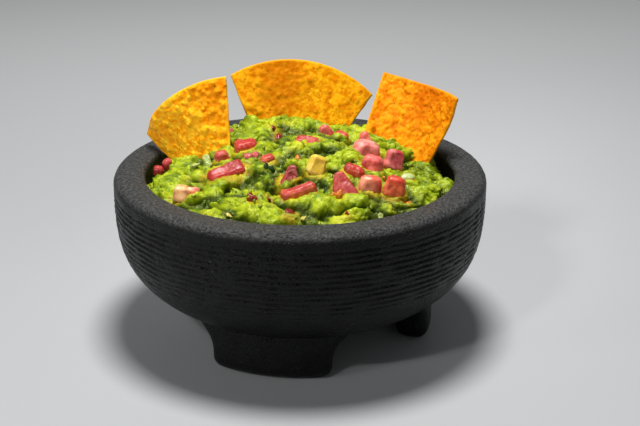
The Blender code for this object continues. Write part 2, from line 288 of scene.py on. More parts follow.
def sheet_border(columns, rows):
    """The points along the border of such a sheet, once round."""
    last = (rows - 1) * columns
    return [*range(columns), *range(2 * columns - 1, rows * columns, columns),
            *range(last + columns - 2, last - 1, -1), *range(last - columns, 0, -columns)]


def paint(item, name, values):
    """Stores one number, or one colour, on each point of the mesh."""
    values = np.asarray(values, np.float32)
    kind, key = ("FLOAT", "value") if values.ndim == 1 else ("FLOAT_COLOR", "color")
    layer = item.data.attributes.new(name, kind, "POINT")
    layer.data.foreach_set(key, values.ravel())


def points_of(item):
    flat = np.empty(len(item.data.vertices) * 3, np.float32)
    item.data.vertices.foreach_get("co", flat)
    return flat.reshape(-1, 3).astype(float)


def put_points(item, places):
    item.data.vertices.foreach_set("co", np.asarray(places, np.float32).ravel())
    item.data.update()


def normals_of(item):
    return np.array([v.normal for v in item.data.vertices])


def face_outwards(mesh):
    work = bmesh.new()
    work.from_mesh(mesh)
    bmesh.ops.recalc_face_normals(work, faces=work.faces)
    work.to_mesh(mesh)
    work.free()


def noise_at(places, size, seed=0.0):
    """Soft noise, about -1 to 1, at each place. Size is in the places' own unit."""
    return np.array([noise.noise((x / size + seed, y / size, z / size)) for x, y, z in places])


def hand_in(item, material, slot, *nodes):
    """Gives a finished piece its material and hides the model pieces it stands for."""
    item.data.materials.clear()
    item.data.materials.append(material)
    item.data.shade_smooth()
    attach(item, "root")
    if nodes:
        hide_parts(*nodes)
    triangles = sum(len(p.vertices) - 2 for p in item.data.polygons)
    print(f"{item.name}: {triangles} triangles")


# %% [markdown]
# ## Floor and light
#
# The dish stands on one plain pale floor. A real sheet of background paper gets less light far
# away, so the floor's colour is painted lighter with the distance: painted light that evens that out.
#
# The light is that of a small studio. A soft panel overhead makes the round shadow under the
# belly, a weaker one on the left brightens that side, and a spot from the front left brings out
# the food and its wet glints. A pale surround fills the shadows a little.

# %% Floor and surround
floor = mesh_object("floor", [(-3, -2, 0), (3, -2, 0), (3, 4, 0), (-3, 4, 0)], [(0, 1, 2, 3)])
floor_material, tree, shader, place = new_material("floor", Roughness=0.45)
depth_back = part_of(tree, place, 1)
# Painted light: the floor's colour grows lighter towards the back to make up for the light it lacks
floor_tone_and_painted_light = mixed(tree, ease(tree, depth_back, 0.1, 0.9), rgb(0.53, 0.54, 0.545), rgb(0.88, 0.88, 0.88))
tree.links.new(floor_tone_and_painted_light, shader.inputs["Base Color"])
floor.data.materials.append(floor_material)

world = bpy.data.worlds.new("studio")
world.use_nodes = True
surround = world.node_tree.nodes["Background"].inputs
surround["Color"].default_value = rgb(0.96, 0.98, 1.0)
surround["Strength"].default_value = 0.15
scene.world = world
print("floor is", tuple(floor.dimensions)[:2], "metres")

# %% Lights
def add_light(name, kind, power, place, aim, **settings):
    """A light of a kind and power in watts, at a place, pointed at another place."""
    light = bpy.data.lights.new(name, kind)
    light.energy = power
    for key, value in settings.items():
        setattr(light, key, value)
    item = add_object(name, light)
    item.location = place
    item.rotation_euler = (Vector(aim) - Vector(place)).to_track_quat("-Z", "Y").to_euler()
    print(f"{name} light: {power} W")


add_light("overhead", "AREA", 9.6, (0.0, 0.0, 0.95), (0.0, 0.0, 0.0), shape="DISK", size=0.26)
add_light("left", "AREA", 1.3, (-0.75, -0.45, 0.30), (-0.05, 0.0, 0.10), shape="DISK", size=0.20)
add_light("front spot", "SPOT", 18.5, (-0.42, -0.64, 0.72), (0.0, 0.03, 0.12),
          spot_size=math.radians(17.0), spot_blend=0.6, shadow_soft_size=0.09)

# %% [markdown]
# ## Stone
#
# Dry volcanic stone is nearly black and rough, with small open pores. The top of the rim is
# handled and scraped, so it is a little duller than the wall, and it is painted lighter: painted
# light on the face that looks up to the overhead lamp. Pores and fine grain are far smaller than
# the mesh, so they are bump. A few bright specks are small chips in the stone.

# %% Stone material
stone, tree, shader, place = new_material("stone", Specular_IOR_Level=0.19)
# Painted light: the top of the rim, which faces the overhead lamp, gets a lighter colour than the wall
rim = ease(tree, part_of(tree, place, 2), 0.0866, 0.0900)
mottle = grain(tree, 0.010, 6.0, place)
cloud = ease(tree, mottle, 0.35, 0.68)
dark = mixed(tree, cloud, rgb(0.0010, 0.0011, 0.0010), rgb(0.0040, 0.0043, 0.0040))
coarse = ease(tree, grain(tree, 0.0016, 3.0, place), 0.42, 0.60)
light = mixed(tree, coarse, rgb(0.030, 0.0305, 0.029), rgb(0.068, 0.069, 0.066))
colour = mixed(tree, rim, dark, light)
speck = ease(tree, from_cells(tree, 0.0042, place), 0.05, 0.10, 1.0, 0.0)
rare = ease(tree, grain(tree, 0.008, 3.0, place), 0.60, 0.68)
colour = mixed(tree, product(tree, speck, rare), colour, rgb(0.20, 0.20, 0.20))
tree.links.new(colour, shader.inputs["Base Color"])
scraped = mixed(tree, rim, rgb(0.38, 0.38, 0.38), rgb(0.52, 0.52, 0.52))
dullness = calc(tree, "ADD", product(tree, calc(tree, "SUBTRACT", mottle, 0.5), 0.5), scraped)
tree.links.new(dullness, shader.inputs["Roughness"])
pores = ease(tree, from_cells(tree, 0.0017, place), 0.05, 0.40)
fine = grain(tree, 0.0009, 4.0, place)
relief = calc(tree, "ADD", product(tree, pores, 0.6), product(tree, fine, 0.8))
bump(tree, shader, relief, 0.0008, 1.0)
print("stone is mixed")

# %% [markdown]
# ## The stone bowl
#
# Bowls like this are cut from dark volcanic stone and finished on a lathe, which leaves shallow
# rings round the wall. So the bowl is made the same way: a profile, drawn once from the flat
# base up over the rim and down into the hollow, is swept round the axis by a small node tree.
#
# The profile's points use X for the radius, Z for the height and Y for how strongly the turning
# tool left its rings there. The rim and the belly's underside are smooth, so they carry a 0.

# %% Profile of the bowl, in millimetres
BOWL_RADIUS, BOWL_HEIGHT = 100.0, 91.2
RIM_OUTER_ROUND, RIM_INNER_ROUND = 5.0, 3.5
BELLY_DROP, BELLY_POWER, BASE_HEIGHT = 76.6, 3.5, 13.0
CAVITY_RADIUS, CAVITY_DEPTH, CAVITY_POWER = 83.0, 62.0, 3.0
RINGS_FROM, RINGS_TO = 44.0, 83.5
BELLY_STEPS, OUTER_STEPS, INNER_STEPS, WALL_STEPS = 300, 20, 16, 200
# How far apart the points end up: on the rings, elsewhere outside, under the base, in the hollow
RINGED_GAP, PLAIN_GAP, BASE_GAP, HOLLOW_GAP = 0.36, 1.0, 4.0, 5.0


def bowl_curve(radius, drop, power, top, angles):
    """Flattened curve of a bowl: angle 0 is its widest ring, 90 degrees its lowest point."""
    return np.stack([radius * np.cos(angles), top - drop * np.sin(angles) ** (2.0 / power)], -1)


def arc(centre, radius, start, end, steps):
    angles = np.radians(np.linspace(start, end, steps))
    return np.stack([centre[0] + radius * np.cos(angles), centre[1] + radius * np.sin(angles)], -1)


def evenly(points, gaps):
    """Walks along a line of points with steps of the wanted lengths, given at each point."""
    length = np.linalg.norm(np.diff(points, axis=0), axis=1)
    rate = np.concatenate([[0.0], np.cumsum(length / ((gaps[1:] + gaps[:-1]) / 2.0))])
    wanted = np.linspace(0.0, rate[-1], int(round(rate[-1])) + 1)
    return np.stack([np.interp(wanted, rate, points[:, k]) for k in range(points.shape[1])], -1)


def bowl_profile():
    top = BOWL_HEIGHT - RIM_OUTER_ROUND
    base = math.asin(((top - BASE_HEIGHT) / BELLY_DROP) ** (BELLY_POWER / 2.0))
    belly = bowl_curve(BOWL_RADIUS, BELLY_DROP, BELLY_POWER, top, np.linspace(base, 0.0, BELLY_STEPS))
    outer = arc((BOWL_RADIUS - RIM_OUTER_ROUND, top), RIM_OUTER_ROUND, 0.0, 90.0, OUTER_STEPS)
    inner_top = BOWL_HEIGHT - RIM_INNER_ROUND
    inner = arc((CAVITY_RADIUS + RIM_INNER_ROUND, inner_top), RIM_INNER_ROUND, 90.0, 180.0,
                INNER_STEPS)
    wall = bowl_curve(CAVITY_RADIUS, CAVITY_DEPTH, CAVITY_POWER, inner_top,
                      np.linspace(0.0, math.pi / 2.0, WALL_STEPS))
    line = np.concatenate([[[0.0, BASE_HEIGHT]], belly, outer[1:], inner, wall[1:]])
    inside = np.arange(len(line)) > BELLY_STEPS + OUTER_STEPS + INNER_STEPS
    rings = np.clip((line[:, 1] - RINGS_FROM) / 2.0, 0.0, 1.0)
    rings *= np.clip((RINGS_TO - line[:, 1]) / 1.5, 0.0, 1.0) * ~inside
    gaps = np.where(rings > 0.0, RINGED_GAP, PLAIN_GAP)
    gaps[line[:, 1] < BASE_HEIGHT + 0.5] = BASE_GAP
    gaps[inside & (line[:, 1] < 70.0)] = HOLLOW_GAP
    return evenly(np.stack([line[:, 0], rings, line[:, 1]], -1), gaps)


profile = bowl_profile()
print("profile points:", len(profile))

# %% [markdown]
# The tree lays a flat grid, one row for each profile point, and bends it into the turned shape:
# each point's column gives its angle and its row looks up the radius and height. Merging the
# points that then coincide closes the seam and both ends.
#
# The rings are narrow grooves at a steady pitch. Their height is shaken a little by noise and
# their depth varies, because stone chips unevenly under the tool.

# %% Recipe: turn a profile and cut rings into it
def turning_recipe():
    tree, given = new_recipe("turned bowl", Columns=300, Ring_Pitch=0.003, Ring_Depth=0.0004,
                             Roughness=0.0003, Material=bpy.types.Material)
    rows = add_node(tree, "GeometryNodeAttributeDomainSize", {0: given["Geometry"]})
    grid = add_node(tree, "GeometryNodeMeshGrid", {
        "Vertices X": rows.outputs["Point Count"],
        "Vertices Y": calc(tree, "ADD", given["Columns"], 1.0)})
    index = add_node(tree, "GeometryNodeInputIndex").outputs[0]
    across = calc(tree, "ADD", given["Columns"], 1.0)
    row = calc(tree, "FLOOR", calc(tree, "DIVIDE", index, across))
    column = calc(tree, "SUBTRACT", index, calc(tree, "MULTIPLY", row, across))
    position = add_node(tree, "GeometryNodeInputPosition").outputs[0]
    looked_up = add_node(tree, "GeometryNodeSampleIndex",
                         {0: given["Geometry"], "Value": position, "Index": row},
                         data_type="FLOAT_VECTOR")
    radius, ringed, high = [part_of(tree, looked_up.outputs[0], axis) for axis in range(3)]
    angle = calc(tree, "MULTIPLY", calc(tree, "DIVIDE", column, given["Columns"]), math.tau)
    turned = add_node(tree, "ShaderNodeCombineXYZ", {
        0: calc(tree, "MULTIPLY", radius, calc(tree, "SINE", angle)),
        1: calc(tree, "MULTIPLY", radius, calc(tree, "COSINE", angle)), 2: high}).outputs[0]
    kept = store(tree, grid.outputs[0], "ringed", ringed)
    bent = add_node(tree, "GeometryNodeSetPosition", {"Geometry": kept, "Position": turned})
    closed = add_node(tree, "GeometryNodeMergeByDistance",
                      {"Geometry": bent.outputs[0], "Distance": 0.00001}).outputs[0]

    mask = stored(tree, "ringed")
    height = part_of(tree, position, 2)
    shake = calc(tree, "MULTIPLY", calc(tree, "SUBTRACT", grain(tree, 0.03, 3.0), 0.5), 0.0022)
    phase = calc(tree, "DIVIDE", calc(tree, "ADD", height, shake), given["Ring_Pitch"])
    from_middle = calc(tree, "ABSOLUTE", calc(tree, "SUBTRACT", calc(tree, "FRACT", phase), 0.5))
    groove = ease(tree, from_middle, 0.0, 0.30, 1.0, 0.0)
    uneven = ease(tree, grain(tree, 0.009, 3.0), 0.30, 0.62, 0.15, 1.0)
    cut = product(tree, groove, uneven, given["Ring_Depth"], mask)
    rough = calc(tree, "SUBTRACT", grain(tree, 0.0032, 3.0), 0.5)
    share = ease(tree, mask, 0.0, 1.0, 0.45, 1.0)
    lift = calc(tree, "SUBTRACT", product(tree, rough, share, given["Roughness"]), cut)
    end_recipe(tree, push_out(tree, closed, lift), given["Material"])
    return tree


profile_line = mesh_object("profile", profile * (MM, 1.0, MM), [])
bowl = follow(turning_recipe(), profile_line, "stone_bowl", Columns=300, Ring_Pitch=0.0031,
              Ring_Depth=0.00080, Roughness=0.0011, Material=stone)
print("bowl points:", len(bowl.data.vertices))

# %% [markdown]
# ## The feet
#
# The bowl stands on three short feet left standing from the same block. Each is a piece of a ring
# with a rounded sole, and it widens where it runs into the belly. A long box gets rounded edges,
# is cut into slices so that it can bend, and is then bent round the bowl's axis. Its flat top
# ends inside the stone.

# %% Feet, in millimetres, with the span and the centres in degrees
FOOT_OUTER, FOOT_INNER, FOOT_TOP, FOOT_SPAN = 73.4, 55.5, 30.0, 55.0
FOOT_ROUND, FOOT_FLARE, FOOT_FLARE_POWER, FOOT_FLARE_START = 6.2, 0.7, 2.5, 8.0
FOOT_CENTRES = (-13.2, 94.5, -147.5)       # from the front
FOOT_SLICES, FOOT_LAYERS = 24, 14          # how finely the box is cut along and up


def add_foot(work, centre):
    middle = (FOOT_OUTER + FOOT_INNER) / 2.0
    length = middle * math.radians(FOOT_SPAN)
    box = bmesh.new()
    bmesh.ops.create_cube(box, size=1.0)
    bmesh.ops.scale(box, vec=(length, FOOT_OUTER - FOOT_INNER, FOOT_TOP), verts=box.verts)
    bmesh.ops.translate(box, vec=(0.0, 0.0, FOOT_TOP / 2.0), verts=box.verts)
    sharp = [e for e in box.edges if min(v.co.z for v in e.verts) < FOOT_TOP - 0.1]
    bmesh.ops.bevel(box, geom=sharp, offset=FOOT_ROUND, segments=6, profile=0.5, affect="EDGES")
    reach = length / 2.0 - FOOT_ROUND
    for normal, low, high, count in ((Vector((1, 0, 0)), -reach, reach, FOOT_SLICES),
                                     (Vector((0, 0, 1)), FOOT_ROUND, FOOT_TOP, FOOT_LAYERS)):
        for step in range(1, count):
            at = low + (high - low) * step / count
            parts = box.verts[:] + box.edges[:] + box.faces[:]
            bmesh.ops.bisect_plane(box, geom=parts, plane_co=normal * at, plane_no=normal)
    for vert in box.verts:
        rise = max(vert.co.z - FOOT_FLARE_START, 0.0) / (FOOT_TOP - FOOT_FLARE_START)
        flare = 1.0 + FOOT_FLARE * rise ** FOOT_FLARE_POWER
        angle = math.radians(centre) + vert.co.x * flare / middle
        radius = middle + vert.co.y
        vert.co = (radius * math.sin(angle), -radius * math.cos(angle), vert.co.z)
    bmesh.ops.recalc_face_normals(box, faces=box.faces)
    shape = bpy.data.meshes.new("foot")
    box.to_mesh(shape)
    box.free()
    shape.transform(Matrix.Scale(MM, 4))
    work.from_mesh(shape)


face_outwards(bowl.data)
work = bmesh.new()
work.from_mesh(bowl.data)
for centre in FOOT_CENTRES:
    add_foot(work, centre)
work.to_mesh(bowl.data)
work.free()
print("feet added:", len(FOOT_CENTRES))
hand_in(bowl, stone, "stone", "bowl")

# %% [markdown]
# ## Colour of the mash
#
# Ripe avocado is yellow-green near the stone of the fruit and deep green near its skin, and a mash
# shows both in streaks. Creases are painted much darker than crests, as painted shade. Juice of the
# tomato and chilli stains the mash orange near them. It is moist and lets some light through, so
# the shader has a little scattering under the surface, and its gloss changes from place to place.

# %% Avocado material
avocado, tree, shader, place = new_material(
    "avocado", Subsurface_Weight=0.18, Subsurface_Scale=0.0022, Specular_IOR_Level=0.5,
    Coat_Weight=0.02, Coat_Roughness=0.14, Specular_Tint=rgb(0.96, 1.0, 0.38))
shader.inputs["Subsurface Radius"].default_value = (1.0, 0.9, 0.25)
relief = attribute(tree, "relief")
streak = grain(tree, 0.0085, 3.0, place, 1.2)
patch = grain(tree, 0.020, 2.0, place)
tone = ease(tree, streak, 0.26, 0.62)
flesh = mixed(tree, tone, rgb(0.066, 0.145, 0.001), rgb(0.395, 0.48, 0.012))
flesh = mixed(tree, ease(tree, patch, 0.56, 0.70, 0.0, 0.5), flesh, rgb(0.62, 0.57, 0.016))
flesh = mixed(tree, ease(tree, patch, 0.44, 0.32, 0.0, 0.6), flesh, rgb(0.07, 0.12, 0.001))
fleck = ease(tree, grain(tree, 0.0022, 3.0, place, 0.8), 0.56, 0.68, 0.0, 0.5)
flesh = mixed(tree, fleck, flesh, rgb(0.05, 0.11, 0.001))
# Painted shade: the colour is painted nearly black green where the relief is low, in the creases
crest_outside_painted_shade = ease(tree, relief, -0.0016, 0.0015)
flesh = mixed(tree, crest_outside_painted_shade, mixed(tree, 0.92, flesh, rgb(0.012, 0.034, 0.0004)), flesh)
blotch = ease(tree, grain(tree, 0.0040, 3.0, place), 0.36, 0.60, 0.0, 0.55)
stained = product(tree, attribute(tree, "stain"), blotch)
flesh = mixed(tree, stained, flesh, rgb(0.62, 0.30, 0.008))
tree.links.new(flesh, shader.inputs["Base Color"])
gloss = ease(tree, grain(tree, 0.004, 2.0, place), 0.3, 0.7, 0.26, 0.52)
tree.links.new(gloss, shader.inputs["Roughness"])
bump(tree, shader, grain(tree, 0.0009, 3.0, place), 0.0005, 0.8)
print("avocado is mixed")

# %% [markdown]
# ## The heap of guacamole
#
# Mashed avocado keeps every mark of the spoon. The large shape is a low dome with a few rolls and
# hollows. It is laid out on a square grid that is pulled into a disc, so that all its cells stay
# about the same size, and its last rows run down a shoulder to the stone.

# %% Large shape of the heap, in millimetres
HEAP_PEAK, HEAP_CENTRE_Y, HEAP_DOME_X, HEAP_DOME_Y = 104.4, 5.0, 162.0, 200.0
# Wide swellings and dents of the spoon: x, y, height and radius
SPOON_MARKS = ((-20, 42, 3.0, 14), (-52, -14, -1.6, 12), (-14, -50, -2.6, 9), (6, -68, 1.2, 12),
               (54, -44, 1.8, 12), (60, 0, -4.0, 10), (-60, 10, -2.5, 12))
HEAP_EDGE, MOAT_WIDTH, MOAT_DEPTH, SHOULDER_DROP, MOAT_BLEND = 79.5, 7.0, 11.0, 1.5, 14.0
MOAT_START = {1: 79.0, -1: 80.0}           # degrees from the front, to the right and to the left
# Rolls pushed up by the spoon: points along the roll, its half width and its height
ROLLS = (
    (((-29, -24), (-20, -33), (-11, -41), (-2, -45)), 4.2, 3.2),
    (((-52, -30), (-44, -36), (-34, -37)), 3.4, 2.2),
    (((-2, -29), (1, -17), (8, -10), (18, -9), (25, -15), (28, -24)), 3.4, 3.2),
    (((-54, -48), (-42, -51), (-30, -55)), 4.0, 2.4),
    (((-48, -60), (-36, -65), (-24, -69)), 3.5, 2.0),
    (((-12, -62), (0, -66), (14, -66), (30, -64)), 4.2, 2.2),
    (((-32, 8), (-24, 18), (-14, 8), (-8, 2)), 4.0, 2.4),
    (((-30, 30), (-24, 40), (-14, 34), (-7, 22)), 4.4, 2.4),
    (((50, -34), (60, -30), (70, -26)), 4.0, 2.0),
    (((-70, -12), (-64, -22), (-56, -28)), 4.0, 1.6),
    (((12, 5), (17, 3), (21, 5)), 4.6, 3.4),
    (((44, -6), (45, -12)), 2.6, 2.4),
    (((-8, -20), (-2, -8), (6, 4)), 3.2, 1.6),
)
# Small hollows between the rolls: x, y, radius and depth
HOLLOWS = ((-34, -42, 4.5, 5.0), (-22, -46, 6.5, 4.5), (-12, -47, 5.0, 3.5), (-50, -38, 4.0, 4.0),
           (59, -11, 8.0, 3.6), (14, -24, 5.0, 2.6), (10, -48, 5.0, 2.8), (-38, -14, 4.0, 1.6),
           (16, -34, 4.0, 2.0))


def along(points, x, y):
    """Distance from each place to a line through the given points."""
    best = np.full(x.shape, 1e9)
    for (ax, ay), (bx, by) in zip(points, points[1:]):
        dx, dy = bx - ax, by - ay
        way = np.clip(((x - ax) * dx + (y - ay) * dy) / (dx * dx + dy * dy), 0.0, 1.0)
        best = np.minimum(best, np.hypot(x - ax - way * dx, y - ay - way * dy))
    return best


def heap_height(x, y):
    """Top of the heap at places in the bowl."""
    top = HEAP_PEAK - x ** 2 / (2 * HEAP_DOME_X) - (y - HEAP_CENTRE_Y) ** 2 / (2 * HEAP_DOME_Y)
    for mark_x, mark_y, height, radius in SPOON_MARKS:
        top += height * np.exp(-((x - mark_x) ** 2 + (y - mark_y) ** 2) / (2.0 * radius ** 2))
    for size, height in ((19.0, 1.5), (8.0, 1.0)):          # soft swellings of two sizes
        top += height * noise_at(np.stack([x, y, np.full(x.shape, size ** 2)], -1), size)
    wander = 2.0 * noise_at(np.stack([x, y, x * 0 + 7.0], -1), 7.0)
    for points, width, height in ROLLS:
        away = along(points, x + wander, y - wander)
        top += height * np.exp(-(away / width) ** 2.6)
    for mark_x, mark_y, radius, depth in HOLLOWS:
        away = np.hypot(x - mark_x + wander, (y - mark_y) * 1.3)
        top -= depth * np.exp(-(away / radius) ** 2)
    return top


def cavity_radius(height):
    """Radius of the hollow in the stone at a height."""
    wall = bowl_curve(CAVITY_RADIUS, CAVITY_DEPTH, CAVITY_POWER, BOWL_HEIGHT - RIM_INNER_ROUND,
                      np.linspace(math.pi / 2.0, 0.0, 400))
    return np.interp(height, wall[:, 1], wall[:, 0])


def moat(azimuth):
    """0 where the heap reaches the stone, 1 behind, where it stands back from it."""
    start = np.where(azimuth > 0.0, MOAT_START[1], MOAT_START[-1])
    way = np.clip((np.abs(np.degrees(azimuth)) - start) / MOAT_BLEND, 0.0, 1.0)
    return way * way * (3.0 - 2.0 * way)


CELLS_ACROSS = 284
SHOULDER_FROM = 0.90                       # share of the way out where the shoulder starts
# From square to disc: each square ring of the grid becomes a circle
line = np.linspace(-1.0, 1.0, CELLS_ACROSS + 1)
a, b = [side.ravel() for side in np.meshgrid(line, line, indexing="xy")]
wide = np.abs(a) > np.abs(b)
reach = np.where(wide, a, b)
safe = np.where(np.abs(reach) < 1e-9, 1.0, reach)
turn = np.where(wide, math.pi / 4 * b / safe, math.pi / 2 - math.pi / 4 * a / safe)
x, y = reach * np.cos(turn), reach * np.sin(turn)
out = np.hypot(x, y)
azimuth = np.arctan2(x, -y)
# The open part of the heap has its border further in and lower, behind the chips
open_part = moat(azimuth)
edge = HEAP_EDGE - MOAT_WIDTH * open_part
radius = edge * np.minimum(out / SHOULDER_FROM, 1.0)
top = heap_height(radius * np.sin(azimuth), -radius * np.cos(azimuth))
way = np.clip((out - SHOULDER_FROM) / (1.0 - SHOULDER_FROM), 0.0, 1.0)
drop = SHOULDER_DROP + MOAT_DEPTH * open_part
top = top - drop * (1.0 - (1.0 - way) ** 2.2)
radius = radius + (cavity_radius(top) - 0.3 - edge) * way      # 0.3 mm short of the stone
surface = np.stack([radius * np.sin(azimuth), -radius * np.cos(azimuth), top], -1)
print("cells on the heap:", CELLS_ACROSS ** 2)

# %% [markdown]
# Below the shoulder the mash simply follows the hollow of the stone, so a few wide rings are
# enough there. They hang from the border of the grid and close on one point at the bottom.

# %% Close the heap underneath
UNDER_RINGS = np.radians((18.0, 34.0, 52.0, 74.0))     # angles down the wall of the hollow
UNDER_GAP = 0.3                                        # millimetres between mash and stone
side = CELLS_ACROSS + 1
faces = sheet_faces(side, side)
border = sheet_border(side, side)
places = surface.tolist()
ring = border
for angle in UNDER_RINGS:
    wall_radius, wall_height = bowl_curve(CAVITY_RADIUS, CAVITY_DEPTH, CAVITY_POWER,
                                          BOWL_HEIGHT - RIM_INNER_ROUND, np.array([angle]))[0]
    start = len(places)
    for point in border:
        height = min(wall_height + UNDER_GAP, surface[point, 2] - 1.0)
        bearing = azimuth[point]
        r = min(wall_radius, cavity_radius(height)) - UNDER_GAP
        places.append((r * math.sin(bearing), -r * math.cos(bearing), height))
    lower = list(range(start, len(places)))
    for i in range(len(border)):
        faces.append((ring[i], ring[i - 1], lower[i - 1], lower[i]))
    ring = lower
places.append((0.0, 0.0, BOWL_HEIGHT - RIM_INNER_ROUND - CAVITY_DEPTH + 2.0 * UNDER_GAP))
for i in range(len(ring)):
    faces.append((ring[i], ring[i - 1], len(places) - 1))
heap = mesh_object("heap", np.array(places) * MM, faces)
print("points in the heap:", len(places))

# %% [markdown]
# ## Mash
#
# Up close the surface is soft folds with narrow creases between them, torn into streaks where
# the spoon dragged the avocado, with small lumps here and there. A node tree pushes the surface
# out along its normal: noise folded at its middle gives the folds, plain noise in two sizes gives
# the torn streaks, and soft cells give the lumps. All three patterns are drawn out from left to
# right. The tree keeps the amount as an attribute, because the creases are also painted darker,
# as painted shade.
#
# Close to the cut pieces only the finest streaks are kept, so that the folds don't bury them.
# The same numbers tell where juice has stained the mash.

# %% Bits that lie in known places: x, y and radius in millimetres
BITS = {
    "chilli": ((-14.3, 21.9, 2.0), (-11.4, 10.3, 2.0), (-23.8, -62.2, 2.4), (-25.0, -53.4, 1.8),
               (-22.4, -58.4, 1.6), (-16.0, -53.9, 1.6), (-4.9, -72.8, 2.6), (23.0, -71.7, 1.4),
               (-12.6, 16.0, 1.5)),
    "orange": ((-8.1, -47.0, 3.0), (41.5, -27.1, 1.8), (19.3, -61.3, 2.2), (54.5, -49.2, 1.5),
               (43.0, -34.0, 1.5), (16.5, -60.6, 1.5), (-1.0, -24.0, 2.0)),
    "pink": ((-40.4, 11.2, 3.0), (-39.3, 33.9, 2.6), (-23.7, -14.3, 2.4), (-27.0, -16.4, 2.0)),
    "herb": ((-14.9, -33.1, 2.4), (12.4, -57.0, 2.0), (-17.5, -34.5, 1.5)),
    "onion": ((40.2, -62.1, 2.2), (-49.4, -1.9, 4.2), (-55.9, -9.9, 2.4)),
    "yellow": ((-35.0, -65.3, 2.0), (1.5, -75.7, 1.8)),
}

# %% Where the mash may rise, and where juice has stained it
# Reaches are counted from the middle, in half widths of a piece or in BIT_JUICE_SIZE radii of a bit
CALM_TO, CALM_BLEND = 0.90, 0.60
JUICE_TO, JUICE_BLEND = 1.45, 0.45
BIT_JUICE_TO, BIT_JUICE_SIZE = 1.5, 1.7
GARNISH = sorted(n for n in frame["nodes"] if n.startswith(("tomato", "onion")))
here = points_of(heap) / MM
free = np.ones(len(here))
stain = np.zeros(len(here))
for name in GARNISH:
    low, high = [np.array(corner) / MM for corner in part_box(name)]
    middle, half = (low + high) / 2.0, (high - low) / 2.0
    away = np.hypot((here[:, 0] - middle[0]) / half[0], (here[:, 1] - middle[1]) / half[1])
    free = np.minimum(free, np.clip((away - CALM_TO) / CALM_BLEND, 0.0, 1.0))
    stain = np.maximum(stain, np.clip(JUICE_TO - away, 0.0, JUICE_BLEND) / JUICE_BLEND)
for spot_x, spot_y, size in BITS["chilli"] + BITS["orange"]:
    away = np.hypot(here[:, 0] - spot_x, here[:, 1] - spot_y) / (size * BIT_JUICE_SIZE)
    stain = np.maximum(stain, np.clip(BIT_JUICE_TO - away, 0.0, 1.0))
# Nothing rises at the border, so that the mash stays inside the stone
grown = np.zeros(len(here))
grown[:side * side] = np.clip((1.0 - out) / 0.05, 0.0, 1.0)
paint(heap, "free", free)
paint(heap, "grown", grown)
paint(heap, "stain", stain)
print("share of calm mash:", round(float((free < 0.5).mean()), 3))

# %% Recipe: folds and lumps
CALM_RISE = 0.0006           # metres that the calm mash stands above the large shape


def mash_recipe():
    tree, given = new_recipe("mash", Fold_Size=0.010, Fold_Height=0.003, Lump_Size=0.0036,
                             Lump_Height=0.0016, Tear_Size=0.006, Tear_Height=0.006,
                             Material=bpy.types.Material)
    position = add_node(tree, "GeometryNodeInputPosition").outputs[0]
    swirl = add_node(tree, "ShaderNodeTexNoise", {"Scale": 90.0, "Detail": 1.0}).outputs["Color"]
    swirl = vector_calc(tree, "SUBTRACT", {0: swirl, 1: (0.5, 0.5, 0.5)})
    swirl = vector_calc(tree, "SCALE", {0: swirl, "Scale": 0.010})      # bends the pattern by some mm
    warped = vector_calc(tree, "ADD", {0: position, 1: swirl})
    stretched = vector_calc(tree, "MULTIPLY", {0: warped, 1: (0.55, 1.3, 1.3)})

    def pattern(kind, size, names, **settings):
        """A pattern that is drawn out from left to right, with features about size apart."""
        names = {"Vector": stretched, "Scale": calc(tree, "DIVIDE", 1.0, size), **names}
        return add_node(tree, kind, names, **settings).outputs

    def billow(size, height):
        """Noise folded at its middle: round pillows with narrow creases between them."""
        found = pattern("ShaderNodeTexNoise", size, {"Detail": 0.0})[0]
        folded = calc(tree, "ABSOLUTE", calc(tree, "SUBTRACT", found, 0.5))
        return product(tree, ease(tree, folded, -0.05, 0.21, -0.55, 0.45), height)

    def lumps(size, height):
        """Round domes on soft cells, strong in some places and faint in others."""
        away = pattern("ShaderNodeTexVoronoi", size, {"Smoothness": 0.35},
                       feature="SMOOTH_F1")["Distance"]
        dome = calc(tree, "SUBTRACT", 1.0, product(tree, calc(tree, "POWER", away, 2.0), 2.2))
        dome = calc(tree, "POWER", calc(tree, "MAXIMUM", dome, 0.0), 0.6)
        some = ease(tree, grain(tree, 0.012, 1.0), 0.42, 0.62, 0.25, 1.0)
        return product(tree, calc(tree, "SUBTRACT", dome, 0.55), some, height)

    def torn(size, height):
        """Streaks in both directions, up and down, as torn pulp leaves them."""
        found = pattern("ShaderNodeTexNoise", size, {"Detail": 2.0, "Distortion": 0.9})[0]
        return product(tree, calc(tree, "SUBTRACT", found, 0.5), height)

    raised = calc(tree, "ADD", lumps(given["Lump_Size"], given["Lump_Height"]),
                  billow(given["Fold_Size"], given["Fold_Height"]))
    for finer, share in ((1.0, 0.9), (0.40, 0.48)):
        streaks = torn(product(tree, given["Tear_Size"], finer), product(tree, given["Tear_Height"], share))
        raised = calc(tree, "ADD", raised, streaks)
    calm = calc(tree, "ADD", streaks, CALM_RISE)        # the finest streaks alone
    kept = product(tree, calc(tree, "SUBTRACT", raised, calm), stored(tree, "free"))
    kept = product(tree, calc(tree, "ADD", calm, kept), stored(tree, "grown"))
    kept = store(tree, given["Geometry"], "relief", kept)
    end_recipe(tree, push_out(tree, kept, stored(tree, "relief")), given["Material"])
    return tree


guacamole = follow(mash_recipe(), heap, "mashed_avocado", Fold_Size=0.0175, Fold_Height=0.0066,
                   Lump_Size=0.0027, Lump_Height=0.0007, Tear_Size=0.0070, Tear_Height=0.0090,
                   Material=avocado)
print("points in the mash:", len(guacamole.data.vertices))

# %% [markdown]
# Soft food bulges a little over the creases next to it. Moving each point slightly downhill does
# that: crests grow wider and creases close up. Then no point may leave the hollow in the stone.

